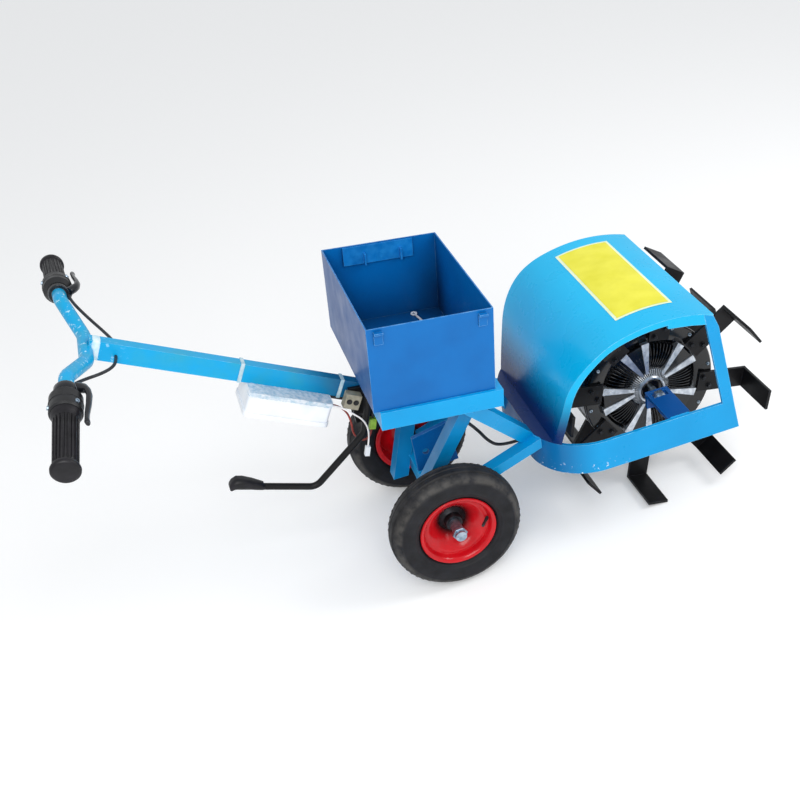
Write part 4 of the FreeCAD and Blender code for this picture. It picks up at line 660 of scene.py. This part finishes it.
for side, sign in (("left", 1), ("right", -1)):
    body = side + "_wheel"
    low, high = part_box(side + "_tyre")
    outer = (high[0] - low[0]) / 2
    half = (high[1] - low[1]) / 2
    place = (Matrix.Translation((axle_x, (low[1] + high[1]) / 2, axle_z))
             @ Matrix.Rotation(math.radians(-90 * sign), 4, "X"))
    middle_radius = (outer + bead_radius) / 2
    section = []
    for step in range(section_steps + 1):
        angle = math.radians(-section_reach + 2 * section_reach * step / section_steps)
        cosine, sine = math.cos(angle), math.sin(angle)
        bulge = (abs(cosine) ** squareness + abs(sine) ** squareness) ** (-1 / squareness)
        r = middle_radius + (outer - middle_radius) * bulge * cosine
        h = half * bulge * sine
        for ring in wall_rings:
            if abs(r - ring) < ring_half and abs(h) > wall_from:
                h += math.copysign(ring_rise, h)
        if cosine > tread_share:
            for groove in tread_grooves:
                if abs(h - groove) < groove_half:
                    r -= groove_depth
        section.append((r, h))
    section += [(bead_radius - bead_depth, bead_half), (bead_radius - bead_depth, -bead_half)]
    tyre = link(side + "_tyre_moulding", turned(side + "_tyre", section, 120, True), tyre_rubber,
                body, 40.0, place)
    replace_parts(tyre, side + "_tyre")
    lug = block("tread_lug", [(outer - depth, y, z) for depth, y, z in lug_corners])
    copies(side + "_tread_outer", lug, lugs_round, tyre_rubber, place, body)
    copies(side + "_tread_inner", flipped(lug, (0, 0, 1)), lugs_round, tyre_rubber, place, body,
           lug_stagger)
    rim = link(side + "_rim_pressing", turned(side + "_rim", dish + dish_inside, 120, True),
               red_enamel, body, 50.0, place)
    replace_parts(rim, side + "_rim")
    link(side + "_hub_tube", turned(side + "_hub", hub, 64, True), dark_steel, body,
         30.0, place)
    axle_nuts.append(turned(side + "_nut", nut, 6, True))
    axle_nuts[-1].transform(place)
    link(side + "_valve_stem", turned("valve_stem", valve, 16), black_sheath, body,
         place=place @ valve_place)
nut_pair = link("axle_nuts", joined("axle_nuts", axle_nuts), bright_steel, "frame",
                20.0)
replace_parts(nut_pair, "wheel_nuts")

# ---------------------------------------------------------------- hub motor
# A scooter hub motor turned into a rotor: a cast shell in gloss black with a ring of cooling fins
# on each cover, silver spokes and a hub ring machined bright, and small screws round the edge.

# Gloss black over a casting: a wet shine, with grey metal at its worn edges.
gloss_black = enamel("gloss_black_enamel", "#0b0c0f", "#08090b", "#5a606a", rough=(0.12, 0.24),
                     shine=0.6, edge_share=0.35)[0]
# Machined aluminium: bright and satin, with its tool marks drawn coarse enough to show.
machined = uncoated("machined_aluminium", "#a9b0ba", "#dde2e8", 12.0, (0.25, 0.42), 8.0, 0.02, 0.8,
                    {"Metallic": 0.85})
shell_low, shell_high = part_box("motor_shell")
across = (Matrix.Translation(((shell_low[0] + shell_high[0]) / 2, 0,
                              (shell_low[2] + shell_high[2]) / 2))
          @ Matrix.Rotation(math.radians(90), 4, "X"))
covers = {"right": across, "left": across @ Matrix.Rotation(math.pi, 4, "X")}
half_shell = [
    (0.0077, 0.0600), (0.0190, 0.0600), (0.0212, 0.0585), (0.0220, 0.0545), (0.0290, 0.0530),
    (0.0330, 0.0490), (0.0410, 0.0450), (0.0600, 0.0420), (0.0880, 0.0395), (0.0910, 0.0400),
    (0.0950, 0.0455), (0.0985, 0.0475), (0.1080, 0.0485), (0.1150, 0.0500), (0.1275, 0.0500),
    (0.1295, 0.0480), (0.1300, 0.0455), (0.1285, 0.0435), (0.1285, 0.0400), (0.1300, 0.0385),
    (0.130, 0.012), (0.1285, 0.0095), (0.1285, 0.0060), (0.130, 0.0035)]
shell_profile = half_shell + [(r, -h) for r, h in reversed(half_shell)]
casting = link("motor_casting", turned("motor", shell_profile, 144, True), gloss_black, "rotor",
               25.0, across)
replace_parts(casting, "motor_shell")

# A cooling fin is a thin vane that rises from the cover and falls again towards its rim.
fin_start, fin_length, fin_steps = 0.0405, 0.0485, 10
fin_foot, fin_base, fin_rise, fin_arch = 0.0385, 0.0400, 0.0140, 12.4
foot_half, top_half = 0.0009, 0.0006
fin_rows = []
for row in range(fin_steps + 1):
    r = fin_start + fin_length * row / fin_steps
    top = fin_base + fin_rise * math.sin(math.pi * (row + 1.0) / fin_arch) ** 0.5
    fin_rows.append([(r, -foot_half, fin_foot), (r, -top_half, top), (r, top_half, top),
                     (r, foot_half, fin_foot)])
fin = lofted("cooling_fin", fin_rows, ends=True)
# Each spoke is a V of two bright arms with a black panel between them.
spoke_turn = 0.62
arm = []
for lean, reach, width, foot, top in ((0.14, 0.0335, 0.0028, 0.0440, 0.0560),
                                      (0.235, 0.0985, 0.0076, 0.0400, 0.0555)):
    along = Vector((math.cos(lean), math.sin(lean), 0)) * reach
    aside = Vector((-math.sin(lean), math.cos(lean), 0)) * width
    arm += [along + aside * shift + Vector((0, 0, height))
            for shift, height in ((-1, foot), (1, foot), (1, top), (-1, top))]
spoke = block("spoke_arm", arm)
panel = block("spoke_panel", [
    (reach * math.cos(lean), reach * math.sin(lean), height)
    for height in (0.0400, 0.0535)
    for reach, lean in ((0.0345, -0.17), (0.0975, -0.26), (0.0975, 0.26), (0.0345, 0.17))])
tooth = block("hub_tooth", [
    (0.0270, -0.0006, 0.0500), (0.0270, 0.0006, 0.0500), (0.0400, 0.0008, 0.0440),
    (0.0400, -0.0008, 0.0440), (0.0270, -0.0005, 0.0585), (0.0270, 0.0005, 0.0585),
    (0.0385, 0.0006, 0.0510), (0.0385, -0.0006, 0.0510)])
screw = turned("cover_screw", [(0.0, 0.0500), (0.0012, 0.0500), (0.0014, 0.0516), (0.0030, 0.0520),
                               (0.0034, 0.0512), (0.0035, 0.0495)], 14)
screw.transform(Matrix.Translation((0.1215, 0, 0)))
hub_ring = [(0.0218, 0.0540), (0.0222, 0.0600), (0.0236, 0.0618), (0.0262, 0.0614),
            (0.0280, 0.0585), (0.0284, 0.0520), (0.0218, 0.0520)]
for side, place in covers.items():
    for title, mesh, number, finish, slot, first, crease in (
            ("fins", fin, 76, gloss_black, "motor_black", 0.02, 35.0),
            ("spokes", spoke, 5, machined, "bare_steel", spoke_turn, 20.0),
            ("spoke_pairs", flipped(spoke, (0, 1, 0)), 5, machined, "bare_steel", spoke_turn,
             20.0),
            ("spoke_panels", panel, 5, gloss_black, "motor_black", spoke_turn, 20.0),
            ("hub_teeth", tooth, 54, machined, "bare_steel", 0.0, 35.0),
            ("cover_screws", screw, 18, bright_steel, "bare_steel", 0.1, 35.0)):
        copies("motor_" + title + "_" + side, mesh, number, finish, place, "rotor", first,
               crease)
    link("motor_hub_ring_" + side, turned("hub_ring", hub_ring, 72, True), machined, "rotor",
         25.0, place)
paint(bright_steel, "motor_shaft", "motor_nuts")
# The brackets have the darker blue of the box.
paint(enamel("bracket_enamel", "#08529a", "#064686", "#3f9be0")[0], "motor_brackets")

# ---------------------------------------------------------------- weeding blades
# Eight L-shaped blades a side, forged from flat bar, painted black and worn dull by soil. Each is
# held on the shell by two dark bolts with hexagon heads.

# Cheap black paint, rubbed matt by soil and down to grey steel at the edges.
soil_worn = enamel("worn_black_paint", "#08080b", "#111013", "#55565c", period=30.0,
                   rough=(0.35, 0.6), shine=0.1)[0]
paint(soil_worn, "left_blades", "right_blades")
bolt_profile = [(0.0, 0.0618), (0.0034, 0.0618), (0.0042, 0.0610), (0.0042, 0.0575),
                (0.0060, 0.0575), (0.0062, 0.0566), (0.0062, 0.0555)]
bolt_pair = []
for spot in ((0.1085, 0.0095, 0), (0.1235, -0.0095, 0)):
    bolt_pair.append(turned("blade_bolt", bolt_profile, 6))
    bolt_pair[-1].transform(Matrix.Translation(spot))
bolts = joined("blade_bolt_pair", bolt_pair)
for side, first_blade in (("right", -101.25), ("left", 78.75)):
    copies("blade_bolts_" + side, bolts, 8, dark_steel, covers[side], "rotor",
           math.radians(first_blade), 20.0)

# ---------------------------------------------------------------- pole and handlebar
# Rectangular tube from the frame back to a bent handlebar of round tube, in the same enamel. The
# joint at the bar is filled and primed pale grey.
bar_enamel, tree, shader, where, painted = enamel("bar_enamel", "#009fd6", "#1f9fc6", "#a9e6fa",
                                                  period=35.0)
# Pale flecks near the handlebar: partly worn paint, partly painted highlight.
pale_flecks_and_highlights = blended(tree, painted, "#cdeffa", cloudy(tree, where, 7.0, 4.0, 0.6, 0.68, 0.0, 0.7),
                  faded(tree, where, "X", -0.47, -0.52, 1.0, "LINEAR"))
# Painted shade: the pole darkens to navy towards its front end, where it runs under the box.
shaded_under_box = blended(tree, pale_flecks_and_highlights, "#04345f", faded(tree, where, "X", -0.25, -0.15, 0.8))
tree.links.new(shaded_under_box, shader.inputs["Base Color"])
paint(bar_enamel, "pole", "handlebar")
pole_slope = math.radians(28.5)
pole_place = Matrix.Translation((-0.1049, 0.0, 0.331)) @ Matrix.Rotation(pole_slope, 4, "Y")
# Body filler under primer: pale, matt and lumpy.
filler = uncoated("pale_primer", "#b9dcea", "#dcebf0", 9.0, (0.4, 0.6), 8.0, 0.25, 2.5)


def box_loft(name, sections):
    """Rounded box rings along X, from (x, half width, half height, corner, lift) in metres."""
    corner_steps = 4
    rows = []
    for x, half_y, half_z, corner, rise in sections:
        row = []
        for quarter, (sy, sz) in enumerate(((1, 1), (-1, 1), (-1, -1), (1, -1))):
            for step in range(corner_steps + 1):
                angle = math.radians(90 * (quarter + step / corner_steps))
                y = sy * (half_y - corner) + corner * math.cos(angle)
                z = sz * (half_z - corner) + corner * math.sin(angle)
                row.append((x, y, z + rise))
        rows.append(row)
    return lofted(name, rows, ends=True)


collar = box_loft("bar_joint", [
    (-0.4735, 0.0098, 0.0158, 0.002, 0.0), (-0.4725, 0.0106, 0.0168, 0.003, 0.0),
    (-0.468, 0.0112, 0.0172, 0.003, 0.0), (-0.4625, 0.0106, 0.0166, 0.0025, 0.0),
    (-0.4615, 0.0099, 0.0159, 0.002, 0.0)])
link("bar_joint_filler", collar, filler, "frame", 50.0, pole_place)

# ---------------------------------------------------------------- grips, housings and levers
# Black moulded rubber grips with lengthwise ribs, a flange and a rounded end. Beside each stands a
# moulded throttle housing clamped with screws, and a brake lever on its perch.

# Rubber is dull and moulded nylon a little shinier. Their fine pebble is drawn coarse, to show.
soft_rubber = uncoated("grip_rubber", "#0b0a0e", "#17151b", 16.0, (0.35, 0.52), 10.0, 0.06, 1.2,
                       {"Specular IOR Level": 0.35})
moulded = uncoated("black_moulded_nylon", "#0a0b0d", "#15161a", 20.0, (0.35, 0.55), 12.0, 0.06, 1.4)
paint(moulded, "left_housing", "right_housing")
# The levers are cast, and their smooth black paint is worn pale where fingers pull.
cast_black = enamel("cast_lever_black", "#17191e", "#0f1114", "#8d939c", period=20.0,
                    rough=(0.2, 0.34), shine=0.4, edge_share=0.6)[0]
sleeve = [(0.0, -0.0030), (0.0150, -0.0030), (0.0182, -0.0022), (0.0198, 0.0), (0.0200, 0.0035),
          (0.0192, 0.0058), (0.0168, 0.0072), (0.0156, 0.0100), (0.0156, 0.0960), (0.0162, 0.1040),
          (0.0186, 0.1110), (0.0204, 0.1150), (0.0204, 0.1178), (0.0112, 0.1180),
          (0.0112, 0.0005), (0.0, 0.0005)]
perch = [(0.0112, 0.1625), (0.0158, 0.1625), (0.0168, 0.1640), (0.0170, 0.1760), (0.0160, 0.1780),
         (0.0112, 0.1780)]
# A lever's sections: along the bar, out from it, half width and half thickness. Near its pivot
# they lean over, to round the end.
lever_steps, pivot_from = 16, 0.165
lever_sections = [
    (0.176, 0.015, 0.0075, 0.0060), (0.170, 0.024, 0.0070, 0.0055), (0.163, 0.030, 0.0065, 0.0048),
    (0.150, 0.0325, 0.0062, 0.0042), (0.130, 0.0315, 0.0058, 0.0038),
    (0.110, 0.0292, 0.0052, 0.0034), (0.098, 0.0288, 0.0050, 0.0032),
    (0.091, 0.0292, 0.0054, 0.0040), (0.0875, 0.0296, 0.0040, 0.0030)]
rib = block("grip_rib", [
    (0.0150, -0.0015, 0.010), (0.0150, 0.0015, 0.010), (0.0150, 0.0015, 0.108),
    (0.0150, -0.0015, 0.108), (0.0171, -0.0008, 0.014), (0.0171, 0.0008, 0.014),
    (0.0178, 0.0008, 0.103), (0.0178, -0.0008, 0.103)])
seam = [(0.0226, 0.1370), (0.0237, 0.1375), (0.0237, 0.1390), (0.0226, 0.1395)]
cap_screw = turned("housing_screw", [(0.0, 0.0), (0.0014, 0.0), (0.0016, 0.0012),
                                     (0.0030, 0.0014), (0.0034, 0.0), (0.0034, -0.0014)], 14)
cap_screw.transform(Matrix.Translation((0.0236, 0, 0.1290))
                    @ Matrix.Rotation(math.radians(90), 4, "Y"))
for side, sign in (("left", 1), ("right", -1)):
    bar_end = Vector((-0.5689, 0.335 * sign, 0.562))
    inward = Vector((0.017, -0.205 * sign, 0.024)).normalized()
    place = Matrix.Translation(bar_end) @ inward.to_track_quat("Z", "Y").to_matrix().to_4x4()
    grip = link(side + "_grip_sleeve", turned(side + "_sleeve", sleeve, 72), soft_rubber, "frame",
                40.0, place)
    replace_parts(grip, side + "_grip")
    low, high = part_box(side + "_lever")
    middle = place.inverted() @ Vector([(a + b) / 2 for a, b in zip(low, high)])
    toward = Vector((middle.x, middle.y, 0)).normalized()
    beside = Vector((-toward.y, toward.x, 0))
    lever_rows = []
    for along, out, half_width, half_thick in lever_sections:
        row = []
        for step in range(lever_steps):
            angle = 2 * math.pi * step / lever_steps
            thick = half_thick * math.cos(angle)
            row.append(toward * (out + thick) + beside * half_width * math.sin(angle)
                       + Vector((0, 0, along + (thick if along > pivot_from else 0.0))))
        lever_rows.append(row)
    lever = joined(side + "_brake_lever", [lofted("lever", lever_rows, ends=True),
                                           turned("perch", perch, 48, True)])
    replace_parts(link(side + "_brake_lever", lever, cast_black, "frame", 40.0,
                     place), side + "_lever")
    copies(side + "_grip_ribs", rib, 18, soft_rubber, place, "frame")
    link(side + "_housing_seam", turned("housing_seam", seam, 64, True), moulded, "frame",
         place=place)
    copies(side + "_housing_screws", cap_screw, 3, bright_steel, place, "frame", 0.5)

# ---------------------------------------------------------------- controller case
# A white moulded case under the pole with its lid downward, held by two white ties, with a grey
# connector ahead of it. Crumpled clear film is still wrapped round its top flange.

# Moulded ABS has an even soft gloss. Nylon is waxy: the ties let light through, the dyed plugs not.
white_abs = uncoated("white_moulded_abs", "#e4e8ee", "#f3f5f8", 45.0, (0.28, 0.42), 20.0, 0.05, 1.4)
paint(white_abs, "controller_case", "controller_lid", "lead_plug", "lead_terminal")
paint(uncoated("natural_nylon", "#a9d2e2", "#d3e9f0", 9.0, (0.3, 0.45), 8.0, 0.05, 1.0,
               {"Alpha": 0.8}), "cable_ties")
paint(uncoated("grey_beige_nylon", "#86816f", "#a09a88", 10.0, (0.4, 0.55), 10.0, 0.06, 1.0),
      "wire_connector")
paint(uncoated("yellow_green_nylon", "#7fae33", "#9cc24a", 8.0, (0.35, 0.5), 8.0, 0.05, 1.0),
      "wire_plug")
contact = [(0.0, 0.0003), (0.0032, 0.0003), (0.0042, 0.0007), (0.0048, 0.0007), (0.0050, 0.0)]
for number, spot in ((1, -0.0435), (2, -0.0555)):
    link("socket_hole_" + str(number), turned("socket_hole", contact, 20), moulded, "frame",
         place=pole_place @ Matrix.Translation((spot, -0.0331, -0.0115))
         @ Matrix.Rotation(math.radians(90), 4, "X"))

# Shrink film: thin, clear and glossy, so its creases catch the light.
clear_film = uncoated("crumpled_clear_film", "#a9cbe0", "#eef4f8", 7.0, (0.12, 0.3), 9.0, 0.5, 4.0,
                      {"Alpha": 0.62})
film_front, film_length, film_columns = -0.086, 0.142, 60
flange_half_width, flange_half_height, flange_middle = 0.0440, 0.0040, -0.0190
wrap_reach, wrap_steps = 160, 12
wrap_side, wrap_top = 1.45, 1.5
crease_height, crease_spread = 0.0012, 8
random.seed(11)
film_rows = []
for column in range(film_columns + 1):
    x = film_front - film_length * column / film_columns
    row = []
    for step in range(wrap_steps + 1):
        angle = math.radians(-wrap_reach + 2 * wrap_reach * step / wrap_steps)
        y = flange_half_width * max(-1.0, min(1.0, wrap_side * math.sin(angle)))
        z = flange_middle + flange_half_height * max(-1.0, min(1.0, wrap_top * math.cos(angle)))
        push = crease_height * random.random()
        row.append((x, y * (1 + push * crease_spread), z + push - crease_height / 2))
    film_rows.append(row)
link("flange_film", lofted("flange_film", film_rows, around=False), clear_film, "frame",
     80.0, pole_place)

# ---------------------------------------------------------------- hitch plates and rear rest
# Two black plates under the frame carry a hitch pin, and a bent rod with a rubber shoe holds the
# pole off the ground when the machine tips back. The motor cable's gland is moulded nylon.
paint(soil_worn, "pole_cheeks", "rear_rest")
(back, shoe_right, foot), (front, shoe_left, _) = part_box("rest_pad")
shoe = box_loft("rest_shoe", [
    (front - 0.001, 0.0075, 0.0075, 0.0070, foot + 0.0115),
    (front - 0.006, 0.0095, 0.0085, 0.0080, foot + 0.0140),
    (front - 0.018, 0.0115, 0.0100, 0.0085, foot + 0.0215),
    (front - 0.032, 0.0125, 0.0105, 0.0085, foot + 0.0300),
    (back + 0.017, 0.0125, 0.0100, 0.0080, foot + 0.0340),
    (back + 0.008, 0.0115, 0.0085, 0.0075, foot + 0.0330),
    (back + 0.003, 0.0100, 0.0065, 0.0060, foot + 0.0300),
    (back + 0.001, 0.0075, 0.0040, 0.0036, foot + 0.0285)])
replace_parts(link("rest_shoe", shoe, soft_rubber, "frame", 60.0,
                 Matrix.Translation((0, (shoe_right + shoe_left) / 2, 0))), "rest_pad")
paint(moulded, "cable_gland")
